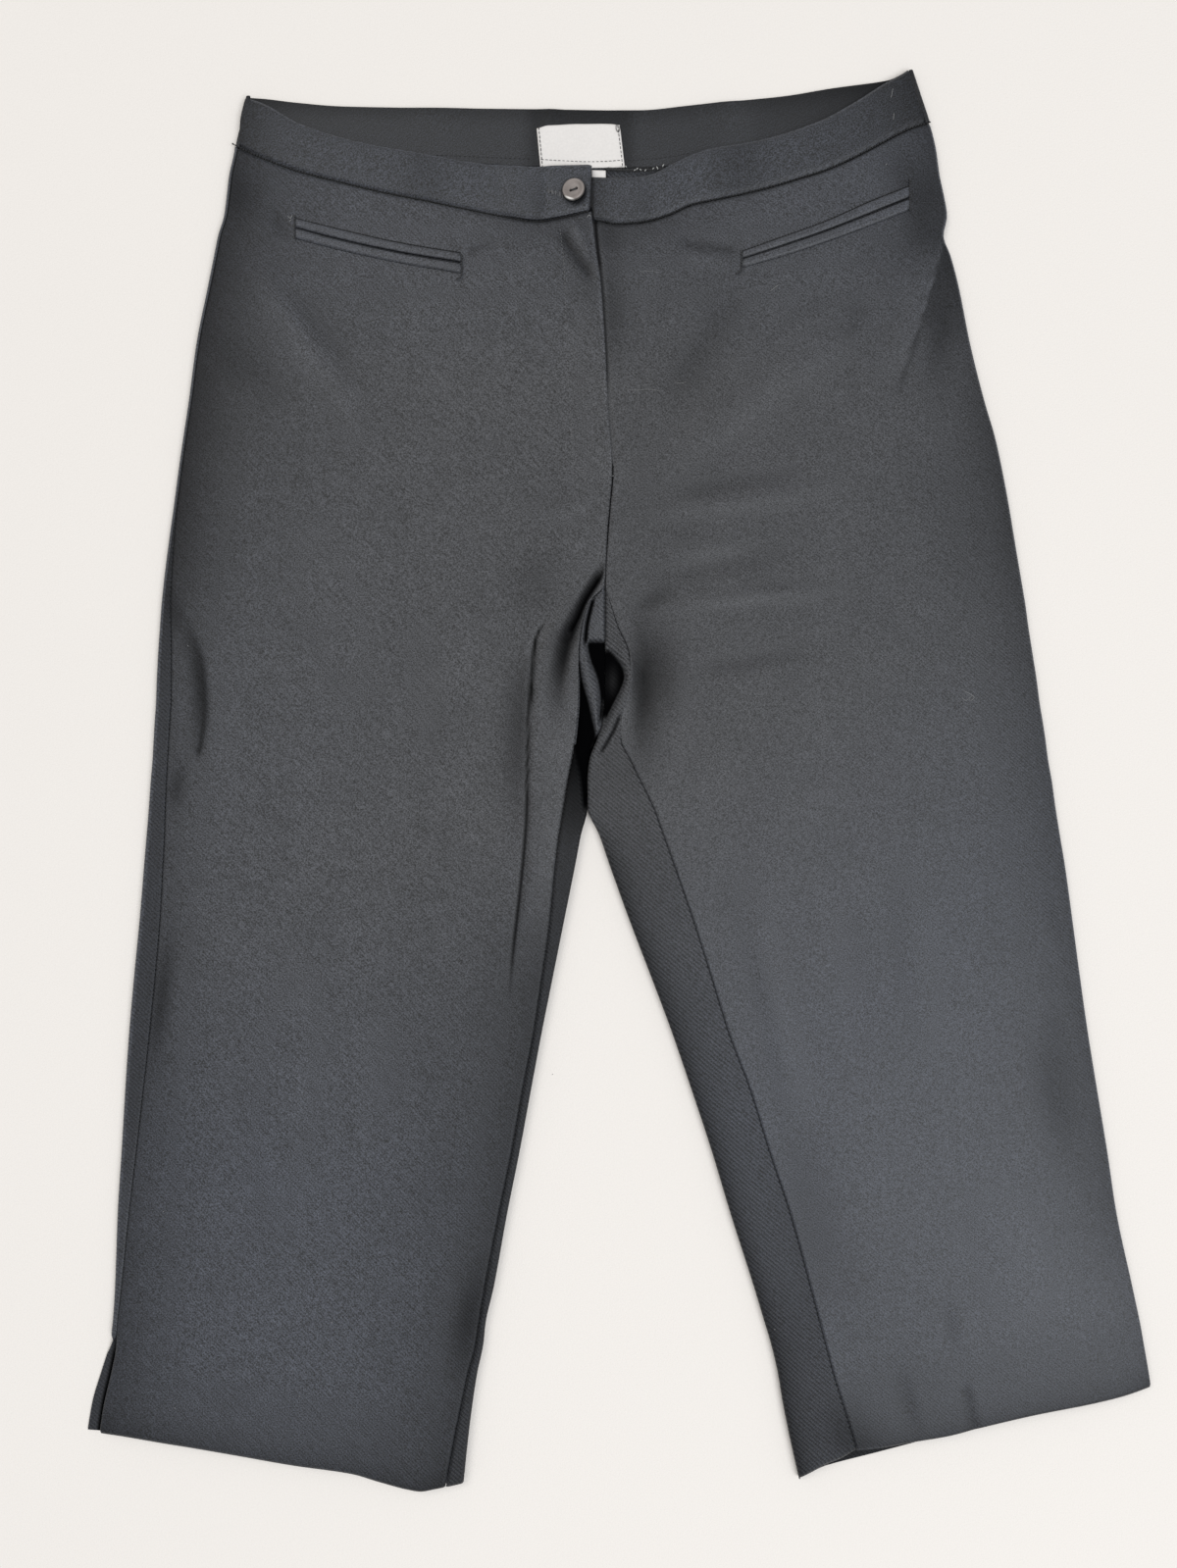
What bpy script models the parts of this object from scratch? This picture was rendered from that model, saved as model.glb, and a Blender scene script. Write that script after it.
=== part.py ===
"""Cropped twill trousers lying flat on their back, front upward.

Metres, +Z up, the waist towards +Y.  Right and left are the wearer's: the right
leg lies on the -X side.  Every cloth piece is one closed wall of even thickness.
The back panels lie flat on Z = 0.  The right back panel turns up round both edges
of its leg, and the left one round the inner edge of its leg only.  On the outer
edge of the left leg the front panel turns under instead.
"""

import math

import bmesh
import bpy
from mathutils import Vector
from mathutils.bvhtree import BVHTree

MM = 0.001

# Cloth, all in millimetres.
CLOTH = 1.2            # wall of a single twill panel
BAND = 1.6             # wall of the doubled waistband
WELT = 1.0             # wall of a pocket welt, a label and the zip tape
SEAM = 0.3             # space between two pieces at a seam
EDGE_HEIGHT = 3.8      # top of the cloth at a folded edge
LAYER_RISE = 1.5       # how much higher the middle of a leg lies
RISE_WIDTH = 48.0      # width over which a leg rises from its edge
BAND_STEP = 0.5        # waistband top above the panel top
LOWEST_TOP = 3.3       # the top layer never lies lower than this
LEAD = 9.0             # flat cloth that belongs to a turned edge
LEAST_STRIP = 2.6      # narrowest strip that shows past a folded edge
UNDER_TURN = 18.0      # left front panel turned under the outer edge
FLY_LIFT = 0.9         # right front panel above the left one at the fly
FLY_WIDTH = 26.0
SLIT_TOP = -338.0      # the side seam is open below this height
SLIT_BLEND = 14.0
SLIT_GAP = 3.0         # opening of the slit on the hidden side
CROTCH_RIGHT = (124.0, 102.0)      # the right back panel turns up between these
CROTCH_LEFT = (117.0, 95.0)
LEG_GAP = 0.5          # more space on each side where the two legs touch
BAND_SPACE = 0.6       # space at the curved lower seams of the waistband
FLY_SPACE = 0.6        # space along the fly edge
LAID = 0.45            # space under what lies on a panel
LEAST_TIP = 1.6        # cloth past the bend while an edge is still turning
TURN_COLUMNS = 5       # steps round a turned edge
NARROW_STRIP = 3       # columns of a narrow strip past it
WIDE_STRIP = 5
FLAT_COLUMNS = 7
LEVEL_ROW = 128.0      # height of the level row at the top of the crotch
LEG_SHARE = 0.7        # share of the rows' way below it
ROW_GROUPS = (         # share of the way from hem to waist: start, end, rows
    (0.0, 0.05, 2),
    (0.05, 0.083, 6),
    (0.083, 0.47, 10),
    (0.47, 0.65, 11),
    (0.65, 0.7, 8),
    (0.7, 1.0, 9),
)

# Outline of the legs, one row for each section across them, from waist to hem.
# y, right leg outer edge, strip of back panel on it, right front panel's inner edge,
# right leg inner edge, left leg inner edge, left front panel's inner edge, outer edge
SECTIONS = (
    (434.0, -227.5, 2.6, -15.6, -7.8, -7.8, -15.6, 180.4),
    (418.0, -230.4, 2.6, -15.6, -7.8, -7.8, -15.6, 185.6),
    (402.0, -233.8, 2.6, -15.6, -7.8, -7.8, -15.6, 190.8),
    (387.0, -234.6, 2.6, -15.6, -7.8, -7.8, -15.6, 193.8),
    (369.0, -238.2, 2.6, -15.6, -7.8, -7.8, -15.6, 196.2),
    (357.0, -239.6, 2.6, -15.6, -7.8, -7.8, -15.6, 199.8),
    (345.0, -241.2, 2.6, -15.6, -7.8, -7.8, -15.6, 201.6),
    (333.0, -244.8, 2.6, -14.4, -7.8, -7.8, -14.4, 199.4),
    (321.0, -247.2, 2.6, -12.9, -7.8, -7.8, -12.9, 202.8),
    (303.0, -250.8, 2.6, -10.3, -7.8, -7.8, -10.3, 207.6),
    (267.0, -258.0, 2.6, -7.7, -7.8, -7.8, -7.7, 214.8),
    (231.0, -262.8, 2.6, -5.9, -7.8, -7.8, -5.9, 223.8),
    (210.0, -266.0, 2.6, -4.4, -7.8, -7.8, -4.4, 230.0),
    (188.0, -269.2, 2.6, -3.2, -7.8, -7.8, -3.2, 234.8),
    (167.0, -272.0, 2.6, -4.8, -7.8, -7.8, -4.8, 238.7),
    (150.0, -274.3, 3.2, -6.2, -7.8, -7.8, -6.2, 241.5),
    (119.0, -278.2, 5.2, -7.8, -7.8, -7.8, -7.8, 246.7),
    (107.0, -279.4, 6.0, -18.6, -7.8, -7.8, -4.6, 248.7),
    (93.0, -280.4, 7.4, -22.4, -7.8, -7.8, 0.0, 250.6),
    (77.0, -281.5, 8.8, -23.8, -7.8, -7.8, 6.6, 253.1),
    (61.0, -282.3, 9.6, -24.0, -7.8, -7.8, 7.8, 255.6),
    (47.0, -282.8, 10.0, -24.1, -8.2, -8.2, 4.8, 257.4),
    (35.0, -283.6, 10.0, -25.0, -9.4, -9.4, 1.8, 259.4),
    (25.0, -284.2, 10.0, -26.0, -12.6, -12.6, 1.6, 260.9),
    (12.0, -284.9, 10.0, -28.3, -17.4, -17.4, 7.4, 262.6),
    (-1.0, -286.0, 10.4, -30.8, -18.6, -18.6, 13.7, 264.9),
    (-17.0, -287.1, 10.8, -33.3, -18.6, -18.6, 21.5, 267.1),
    (-34.0, -288.5, 11.8, -36.0, -22.6, -11.4, 27.7, 269.8),
    (-52.0, -290.0, 12.4, -38.2, -26.0, -5.2, 34.1, 272.8),
    (-87.0, -292.9, 13.4, -41.6, -33.0, 7.4, 46.2, 277.6),
    (-123.0, -296.4, 13.8, -46.6, -40.2, 21.2, 57.6, 282.4),
    (-154.0, -299.1, 13.4, -51.2, -46.4, 32.8, 67.2, 286.8),
    (-187.0, -301.4, 12.0, -57.6, -52.6, 44.1, 79.7, 292.1),
    (-227.0, -303.8, 9.8, -64.8, -60.0, 57.3, 92.3, 298.7),
    (-265.0, -306.2, 7.6, -72.6, -67.6, 68.7, 104.9, 304.4),
    (-311.0, -307.9, 4.4, -81.4, -76.0, 83.4, 117.6, 314.3),
    (-333.0, -309.4, 3.4, -85.0, -81.0, 90.0, 123.4, 318.9),
    (-345.0, -311.4, 4.6, -86.8, -82.8, 93.6, 126.6, 321.0),
    (-363.0, -316.8, 6.8, -91.6, -87.4, 97.8, 131.4, 324.1),
    (-381.0, -322.2, 8.0, -95.4, -91.0, 100.8, 137.0, 326.6),
    (-400.0, -325.4, 8.2, -99.4, -93.4, 104.6, 142.8, 328.0),
    (-436.0, -330.0, 8.2, -106.0, -96.6, 112.6, 153.0, 332.0),
)
(Y, R_OUTER, R_STRIP, R_FRONT, R_INNER, L_INNER, L_FRONT, L_OUTER) = range(8)

# Waistbands, one row for each section along them: x, lower seam, top edge.
BAND_RIGHT = (
    (-240.0, 391.4, 423.0),
    (-230.0, 385.8, 418.2),
    (-216.0, 379.4, 412.8),
    (-195.0, 371.6, 401.0),
    (-169.0, 364.9, 392.2),
    (-144.0, 358.9, 386.6),
    (-118.0, 353.8, 382.3),
    (-96.0, 349.2, 378.0),
    (-70.0, 343.9, 374.8),
    (-49.0, 340.9, 373.3),
    (-39.0, 342.3, 374.0),
    (-15.0, 347.4, 374.6),
)
BAND_LEFT = (
    (-56.0, 341.8, 368.4),
    (-15.0, 341.8, 368.4),
    (-1.0, 339.6, 368.4),
    (11.0, 340.2, 369.8),
    (21.0, 342.0, 372.0),
    (32.0, 345.6, 376.2),
    (45.0, 351.4, 382.4),
    (58.0, 354.2, 385.8),
    (77.0, 358.2, 388.8),
    (94.0, 362.4, 392.4),
    (110.0, 367.2, 397.4),
    (126.0, 372.2, 403.6),
    (145.0, 380.6, 414.0),
    (163.0, 390.2, 425.4),
    (174.0, 396.0, 431.4),
    (180.0, 398.6, 434.9),
    (191.0, 402.2, 434.9),
    (200.0, 404.2, 434.9),
)
BAND_BACK = (
    (-240.0, 391.4, 421.6),
    (-230.0, 385.8, 418.2),
    (-214.0, 385.0, 415.8),
    (-198.0, 384.2, 414.0),
    (-168.0, 382.6, 411.6),
    (-118.0, 380.0, 410.8),
    (-50.0, 375.8, 411.2),
    (12.0, 375.6, 409.8),
    (42.0, 376.4, 412.2),
    (72.0, 378.4, 415.2),
    (102.0, 381.2, 418.2),
    (132.0, 386.2, 422.8),
    (150.0, 391.0, 425.2),
    (165.0, 394.6, 427.4),
    (180.0, 398.6, 434.0),
    (191.0, 402.2, 436.0),
    (200.0, 404.2, 436.0),
)
RIGHT_BAND_END = ((340.0, -17.8), (374.6, -15.9))   # y, x of the buttonhole end
BAND_START = -14.2     # left waistband starts here and carries on underneath
UNDERLAP = 36.0
UNDERLAP_COLUMNS = 5
UNDERLAP_STEP = 8.4    # the underlap's lower edge above the seam

# Hems: x, top layer, bottom layer.
HEM_RIGHT = (
    (-331.0, -398.4, -398.4),
    (-306.0, -401.4, -401.4),
    (-270.0, -406.8, -406.8),
    (-234.0, -412.8, -412.8),
    (-198.0, -419.2, -419.2),
    (-162.0, -424.2, -424.2),
    (-144.0, -428.4, -428.4),
    (-127.0, -434.2, -434.4),
    (-112.0, -432.8, -433.2),
    (-96.0, -430.2, -430.2),
    (-90.0, -429.4, -429.4),
)
HEM_LEFT = (
    (105.0, -428.6, -429.0),
    (111.0, -425.6, -426.0),
    (129.0, -415.6, -418.8),
    (147.0, -409.6, -414.0),
    (165.0, -406.2, -409.8),
    (183.0, -403.8, -405.2),
    (201.0, -400.8, -401.2),
    (219.0, -396.2, -396.2),
    (255.0, -387.8, -387.8),
    (291.0, -380.8, -380.8),
    (309.0, -376.8, -376.8),
    (330.0, -370.4, -370.4),
)

# Folds of the top layer: start x, y, end x, y, half width, height.
FOLDS = (
    (-32.0, 96.0, -40.0, 24.0, 10.0, 2.6),      # bulge right of the crotch
    (-12.0, 120.0, -36.0, 72.0, 5.0, -1.6),     # crevice beside it
    (8.0, 104.0, 17.0, 62.0, 9.0, 2.2),         # rim left of the crotch
    (-8.0, 78.0, -9.0, 46.0, 9.0, -3.0),        # hollow between the rims
    (32.0, 82.0, 28.0, 36.0, 10.0, -1.2),       # dimple beside the left rim
    (-2.0, 184.0, -52.0, 164.0, 8.0, 1.0),      # ridge at the foot of the fly
    (-222.0, 312.0, -161.0, 208.0, 18.0, 1.8),  # drag from the right hip
    (145.0, 322.0, 16.0, 190.0, 20.0, 2.0),     # drag from the left pocket
    (4.0, 159.0, 112.0, 180.0, 13.0, 1.3),      # seat of the left leg, upper
    (6.0, 122.0, 118.0, 143.0, 11.0, -1.0),     # trough under it
    (44.0, 73.0, 124.0, 88.0, 12.0, -0.9),      # second trough
    (-266.0, 109.0, -254.0, 33.0, 9.0, -0.9),   # trough at the right thigh
    (-198.0, 171.0, -156.0, 24.0, 15.0, 1.0),   # long ridge of the right thigh
    (190.0, 318.0, 172.0, 262.0, 12.0, 1.2),    # fold at the left hip
    (75.0, -55.0, 106.0, -196.0, 13.0, 1.5),    # inner streak of the left leg
    (173.0, -43.0, 194.0, -190.0, 13.0, 1.2),   # outer streak of the left leg
    (-190.0, -70.0, -215.0, -300.0, 16.0, 0.9), # long ridge of the right leg
    (200.0, -250.0, 230.0, -350.0, 16.0, 1.0),  # lower left leg
)

# Pocket welts: x, upper line, middle line, lower line.
POCKET_RIGHT = (
    (-197.0, 342.6, 336.4, 329.6),
    (-168.6, 335.4, 328.8, 322.2),
    (-132.0, 327.2, 320.8, 314.2),
    (-95.2, 321.0, 314.6, 307.8),
)
POCKET_LEFT = (
    (75.2, 322.0, 317.0, 311.4),
    (99.6, 330.8, 325.0, 318.4),
    (127.2, 341.0, 334.6, 327.6),
    (152.0, 352.2, 344.4, 336.8),
    (178.0, 362.8, 355.0, 347.4),
)

# Small parts.
BUTTON_DIAMETER = 14.4
BUTTON_THICKNESS = 3.0
BUTTON_CENTRE = (-26.8, 360.3)
BUTTON_TILT = (7.0, -6.0, 0.0)     # degrees about X, Y and Z
HOLE_DIAMETER = 2.0
HOLE_SPACING = 4.4
HOLE_TURN = 35.0                   # degrees, the line through the two holes
LABEL_CORNERS = ((-47.4, 373.8), (4.2, 375.0), (1.2, 401.4), (-49.8, 400.2))
TAB_CORNERS = ((-16.0, 365.0), (-7.4, 365.0), (-7.4, 372.8), (-16.0, 372.8))
ZIP_TOP = 338.0
ZIP_BOTTOM = 192.0
ZIP_HALF_WIDTH = 13.0


def smooth(t):
    """Ease from 0 to 1."""
    t = min(max(t, 0.0), 1.0)
    return t * t * (3.0 - 2.0 * t)


def mix(a, b, t):
    return a + (b - a) * t


def look_up(table, column, key):
    """Straight-line reading of a table whose first column rises or falls."""
    rows = table if table[0][0] < table[-1][0] else table[::-1]
    key = min(max(key, rows[0][0]), rows[-1][0])
    for low, high in zip(rows, rows[1:]):
        if key <= high[0]:
            break
    t = (key - low[0]) / (high[0] - low[0])
    return mix(low[column], high[column], t)


def section(column, y):
    return look_up(SECTIONS, column, y)


def segment_distance(x, y, x0, y0, x1, y1):
    """Distance from a point to a straight segment."""
    dx, dy = x1 - x0, y1 - y0
    t = ((x - x0) * dx + (y - y0) * dy) / (dx * dx + dy * dy)
    t = min(max(t, 0.0), 1.0)
    return math.hypot(x - x0 - t * dx, y - y0 - t * dy)


def turned_up(y, zone):
    """0 above a crotch zone, where the back panel is flat, and 1 below it."""
    return smooth((zone[0] - y) / (zone[0] - zone[1]))


def leg_clearance(y):
    """Half the space between the back panels, wider where the legs lie side by side."""
    return SEAM / 2 + LEG_GAP * turned_up(y, CROTCH_RIGHT)


def top_height(x, y, right_side):
    """Height of the upper cloth surface above the floor."""
    if right_side:
        outer = x - section(R_OUTER, y)
        inner = section(R_INNER, y) - x
    else:
        outer = section(L_OUTER, y) - x
        inner = x - section(L_INNER, y)
    inner += 60.0 * (1.0 - smooth((140.0 - y) / 60.0))
    rise = smooth(min(outer, 1.6 * inner + 12.0) / RISE_WIDTH)
    rise *= 1.0 - 0.55 * smooth((y - 290.0) / 60.0)
    height = EDGE_HEIGHT + LAYER_RISE * rise
    edge = smooth(outer / 14.0)
    for x0, y0, x1, y1, width, amount in FOLDS:
        gap = segment_distance(x, y, x0, y0, x1, y1) / width
        if gap < 3.0:
            height += edge * amount * math.exp(-gap * gap)
    return max(height, LOWEST_TOP)


def fly_lift(x, y):
    """The right front panel rises over the zip towards the fly edge."""
    away = section(R_FRONT, y) - x
    return FLY_LIFT * smooth(1.0 - away / FLY_WIDTH) * smooth((y - 178.0) / 14.0)


def settle(column, share, low, high):
    """Point of a column, `share` of the way from the low curve to the high one."""
    y = 0.0
    for _ in range(10):
        x, z = column(y)
        y = mix(low(x), high(x), share)
    x, z = column(y)
    return x, y, z


def settle_leg(column, share, hem, waist):
    """The same on a panel, whose rows lie level at the top of the crotch."""
    if share < LEG_SHARE:
        return settle(column, share / LEG_SHARE, hem, lambda x: LEVEL_ROW)
    return settle(column, (share - LEG_SHARE) / (1.0 - LEG_SHARE), lambda x: LEVEL_ROW, waist)


def material(name, colour, roughness, sheen=0.0):
    """One plain Principled material."""
    made = bpy.data.materials.new(name)
    made.use_nodes = True
    shader = made.node_tree.nodes["Principled BSDF"]
    shader.inputs["Base Color"].default_value = (*colour, 1.0)
    shader.inputs["Roughness"].default_value = roughness
    shader.inputs["Sheen Weight"].default_value = sheen
    made.diffuse_color = (*colour, 1.0)
    return made


def place_object(name, mesh, surface, collection):
    made = bpy.data.objects.new(name, mesh)
    mesh.materials.append(surface)
    collection.objects.link(made)
    return made


def cloth(name, points, wall, surface, collection):
    """Closed cloth wall grown inward from a grid of outer-surface points.

    `points` is a list of rows, each a list of (x, y, z) in millimetres.
    """
    rows = len(points)
    columns = len(points[0])
    shape = bmesh.new()
    bmesh.ops.create_grid(shape, x_segments=columns - 1, y_segments=rows - 1, size=1.0)
    shape.verts.ensure_lookup_table()
    for vert in shape.verts:
        column = round((vert.co.x + 1.0) * 0.5 * (columns - 1))
        row = round((vert.co.y + 1.0) * 0.5 * (rows - 1))
        vert.co = Vector(points[row][column]) * MM
    bmesh.ops.triangulate(shape, faces=shape.faces)
    mesh = bpy.data.meshes.new(name)
    shape.to_mesh(mesh)
    shape.free()
    made = place_object(name, mesh, surface, collection)
    walls = made.modifiers.new("Wall", "SOLIDIFY")
    walls.thickness = wall * MM
    walls.offset = -1.0
    walls.use_even_offset = True
    walls.use_quality_normals = True
    return made


def spread(count, lean=1.0):
    """`count` shares from 0 to 1, closer together near 1 when lean is over 1."""
    return [1.0 - (1.0 - k / (count - 1)) ** lean for k in range(count)]


def row_shares():
    """Shares of the way from hem to waist, closer together at the slit and crotch."""
    shares = []
    for start, end, count in ROW_GROUPS:
        shares += [mix(start, end, k / count) for k in range(count)]
    return shares + [1.0]


def turned(fold, seam, sign, height, share, y, strip_columns):
    """Columns of a turned edge, from the seam on top round to the flat cloth.

    `fold` and `seam` are x positions, `sign` is +1 when the fold is the +X end of
    the flat cloth, `height` gives the top at x, and `share` is how far the cloth
    has turned: 0 lies flat up to the fold, 1 lies back on top.
    """
    radius = height(fold, y) * 0.5
    radius = height(fold - sign * radius, y) * 0.5
    angle = math.pi * share
    strip = mix(LEAST_TIP, abs(seam - fold + sign * radius), share ** 4)
    if share < 0.5:
        reach = radius * math.sin(angle) + strip * math.cos(angle)
    else:
        reach = radius
    bend = radius * angle
    total = strip + bend + LEAD - reach
    count = strip_columns + TURN_COLUMNS + 2
    line = []
    for k in range(count):
        if k < strip_columns:
            placed = strip * k / strip_columns
        elif k < count - 1:
            placed = strip + bend * (k - strip_columns) / TURN_COLUMNS
        else:
            placed = total
        along = mix(total * k / (count - 1), placed, smooth(share * 1.6))
        if along < strip:
            out = radius * math.sin(angle) + (strip - along) * math.cos(angle)
            z = radius - radius * math.cos(angle) + (strip - along) * math.sin(angle)
            x = fold - sign * (reach - out)
            z = mix(z, height(x, y), share ** 8)
        elif along < strip + bend:
            here = angle - (along - strip) / radius
            x = fold - sign * (reach - radius * math.sin(here))
            z = radius - radius * math.cos(here)
        else:
            x = fold - sign * (reach + along - strip - bend)
            z = 0.0
        line.append((x, z))
    return line


def right_side_height(x, y):
    return top_height(x, y, True)


def left_side_height(x, y):
    return top_height(x, y, False)


def front_clearance(y):
    """Half the space at a front panel's inner edge."""
    return mix(SEAM, FLY_SPACE, smooth((y - 112.0) / 10.0)) / 2


def front_right(shares):
    """Right front panel, from the side seam to the fly and the inner leg seam."""
    rows = []
    for share in shares:
        row = []
        for across in spread(18, 1.35):
            def column(y, across=across):
                start = section(R_OUTER, y) + section(R_STRIP, y) + SEAM / 2
                end = section(R_FRONT, y) - front_clearance(y)
                x = mix(start, end, across)
                return x, right_side_height(x, y) + fly_lift(x, y)
            row.append(settle_leg(column, share,
                                  lambda x: look_up(HEM_RIGHT, 1, x),
                                  lambda x: look_up(BAND_RIGHT, 1, x) - BAND_SPACE / 2))
        rows.append(row)
    return rows


def front_left(shares):
    """Left front panel: top layer, round the outer edge and a strip underneath."""
    rows = []
    top_columns = spread(17)
    for share in shares:
        row = []
        for k in range(len(top_columns) + 7):
            def column(y, k=k):
                outer = section(L_OUTER, y)
                radius = left_side_height(outer, y) * 0.5
                centre = outer - radius
                start = section(L_FRONT, y) + front_clearance(y)
                if k < len(top_columns):
                    x = mix(start, centre, (k / (len(top_columns) - 1)) ** 1.3)
                    return x, left_side_height(x, y)
                step = k - len(top_columns) + 1
                if step < 6:
                    angle = math.pi * step / 5
                    return (centre + radius * math.sin(angle),
                            radius + radius * math.cos(angle))
                reach = mix(centre, hidden_seam(y) + SEAM / 2, (step - 5) / 2)
                return reach, 0.0
            layer = 1 if k < len(top_columns) + 3 else 2
            seam = BAND_LEFT if layer == 1 else BAND_BACK
            row.append(settle_leg(column, share,
                                  lambda x, layer=layer: look_up(HEM_LEFT, layer, x),
                                  lambda x, seam=seam: look_up(seam, 1, x) - BAND_SPACE / 2))
        rows.append(row)
    return rows


def hidden_seam(y):
    """Side seam of the left leg, on the underside."""
    return section(L_OUTER, y) - UNDER_TURN


def slit_opening(y):
    return SLIT_GAP * smooth((SLIT_TOP - y) / SLIT_BLEND)


def back_left(shares):
    """Left back panel: flat from the hidden side seam, turned up at the inner leg."""
    turn_count = WIDE_STRIP + TURN_COLUMNS + 2
    rows = []
    for share in shares:
        row = []
        for k in range(turn_count + FLAT_COLUMNS):
            def column(y, k=k):
                fold = section(L_INNER, y) + leg_clearance(y)
                seam = max(section(L_FRONT, y) - SEAM / 2, fold + LEAST_STRIP)
                line = turned(fold, seam, -1, left_side_height,
                              turned_up(y, CROTCH_LEFT), y, WIDE_STRIP)
                if k < turn_count:
                    return line[k]
                end = hidden_seam(y) - SEAM / 2 - slit_opening(y)
                return mix(line[-1][0], end, (k - turn_count + 1) / FLAT_COLUMNS), 0.0
            layer = 1 if k < WIDE_STRIP + 2 else 2
            row.append(settle_leg(column, share,
                                  lambda x, layer=layer: look_up(HEM_LEFT, layer, x),
                                  lambda x: look_up(BAND_BACK, 1, x) - BAND_SPACE / 2))
        rows.append(row[::-1])
    return rows


def back_right(shares):
    """Right back panel: flat, turned up at the inner leg and at the side seam."""
    turn_count = NARROW_STRIP + TURN_COLUMNS + 2
    rows = []
    for share in shares:
        row = []
        for k in range(2 * turn_count + FLAT_COLUMNS):
            def column(y, k=k):
                fold = section(R_INNER, y) - leg_clearance(y)
                seam = min(section(R_FRONT, y) + SEAM / 2, fold - LEAST_STRIP)
                inner = turned(fold, seam, 1, right_side_height,
                               turned_up(y, CROTCH_RIGHT), y, NARROW_STRIP)
                if k < turn_count:
                    return inner[k]
                edge = section(R_OUTER, y)
                side = edge + section(R_STRIP, y) - SEAM / 2
                closed = 1.0 - smooth((SLIT_TOP - y) / SLIT_BLEND)
                outer = turned(edge, side, -1, right_side_height, closed, y, NARROW_STRIP)
                if k >= turn_count + FLAT_COLUMNS:
                    return outer[2 * turn_count + FLAT_COLUMNS - 1 - k]
                across = (k - turn_count + 1) / (FLAT_COLUMNS + 1)
                return mix(inner[-1][0], outer[-1][0], across), 0.0
            row.append(settle_leg(column, share,
                                  lambda x: look_up(HEM_RIGHT, 2, x),
                                  lambda x: look_up(BAND_BACK, 1, x) - BAND_SPACE / 2))
        rows.append(row)
    return rows


def band_height(x, y, right_side):
    return top_height(x, y, right_side) + BAND_STEP


def overlap_lift(x):
    """The buttonhole end lies on the underlap of the left waistband."""
    return (BAND + SEAM) * smooth((x + 82.0) / 26.0)


def front_band_right():
    rows = []
    for share in spread(4):
        row = []
        for across in spread(22):
            def column(y, across=across):
                start = section(R_OUTER, y) + LEAST_STRIP + 0.4 + SEAM / 2
                end = look_up(RIGHT_BAND_END, 1, y)
                x = mix(start, end, across)
                seam = look_up(BAND_RIGHT, 1, x)
                return x, band_height(x, seam, True) + overlap_lift(x)
            row.append(settle(column, share,
                              lambda x: look_up(BAND_RIGHT, 1, x) + BAND_SPACE / 2,
                              lambda x: look_up(BAND_RIGHT, 2, x)))
        rows.append(row)
    return rows


def front_band_left():
    """Left waistband, carried on under the buttonhole end as a narrower underlap."""
    rows = []
    for share in spread(4):
        row = []
        for k in range(UNDERLAP_COLUMNS + 22):
            def column(y, k=k):
                end = section(L_OUTER, y) - LEAST_STRIP - 0.4 - SEAM / 2
                if k < UNDERLAP_COLUMNS:
                    x = mix(BAND_START - UNDERLAP, BAND_START - 1.4, k / (UNDERLAP_COLUMNS - 1))
                else:
                    x = mix(BAND_START, end, (k - UNDERLAP_COLUMNS) / 21)
                seam = look_up(BAND_LEFT, 1, x)
                return x, band_height(max(x, -7.0), seam, False)
            step = UNDERLAP_STEP if k < UNDERLAP_COLUMNS else BAND_SPACE / 2
            row.append(settle(column, share,
                              lambda x, step=step: look_up(BAND_LEFT, 1, x) + step,
                              lambda x: look_up(BAND_LEFT, 2, x)))
        rows.append(row)
    return rows


def back_band():
    """Back waistband, flat, both ends turned up to meet the front ones."""
    flat_count = 14
    radius = (EDGE_HEIGHT + BAND_STEP) / 2
    rows = []
    for share in spread(4):
        row = []
        for k in range(14 + flat_count):
            def column(y, k=k):
                right = section(R_OUTER, y)
                left = section(L_OUTER, y)
                strip = LEAST_STRIP + 0.4 - SEAM / 2
                if k < 7:
                    if k == 0:
                        return left - strip, 2 * radius
                    angle = math.pi * (1.0 - (k - 1) / 5)
                    return (left - radius + radius * math.sin(angle),
                            radius - radius * math.cos(angle))
                if k >= 7 + flat_count:
                    step = k - 7 - flat_count
                    if step == 6:
                        return right + strip, 2 * radius
                    angle = math.pi * step / 5
                    return (right + radius - radius * math.sin(angle),
                            radius - radius * math.cos(angle))
                x = mix(left - radius, right + radius, (k - 6) / (flat_count + 1))
                return x, 0.0
            row.append(settle(column, share,
                              lambda x: look_up(BAND_BACK, 1, x) + BAND_SPACE / 2,
                              lambda x: look_up(BAND_BACK, 2, x)))
        rows.append(row)
    return rows


def panel_tree(panel):
    """Upper surface of a panel, for laying things on it."""
    mesh = panel.data
    return BVHTree.FromPolygons([v.co for v in mesh.vertices],
                                [tuple(p.vertices) for p in mesh.polygons])


def height_on(tree, x, y):
    hit = tree.ray_cast(Vector((x * MM, y * MM, 0.1)), Vector((0.0, 0.0, -1.0)))
    return hit[0].z / MM


def welt(table, lower, upper, tree):
    """A welt between two lines of a pocket table, lying on its panel."""
    start, end = table[0][0], table[-1][0]
    rows = []
    for share in (0.0, 0.5, 1.0):
        row = []
        for across in spread(18):
            x = mix(start, end, across)
            low = look_up(table, lower, x)
            high = look_up(table, upper, x)
            y = mix(low + SEAM / 2, high - SEAM / 2, share)
            row.append((x, y, height_on(tree, x, y) + LAID + WELT))
        rows.append(row)
    return rows


def patch(corners, columns, rows, height):
    """Four-cornered flat piece of cloth at a height."""
    made = []
    for row in spread(rows):
        line = []
        for across in spread(columns):
            low = [mix(a, b, across) for a, b in zip(corners[0], corners[1])]
            high = [mix(a, b, across) for a, b in zip(corners[3], corners[2])]
            x, y = [mix(a, b, row) for a, b in zip(low, high)]
            line.append((x, y, height))
        made.append(line)
    return made


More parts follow.
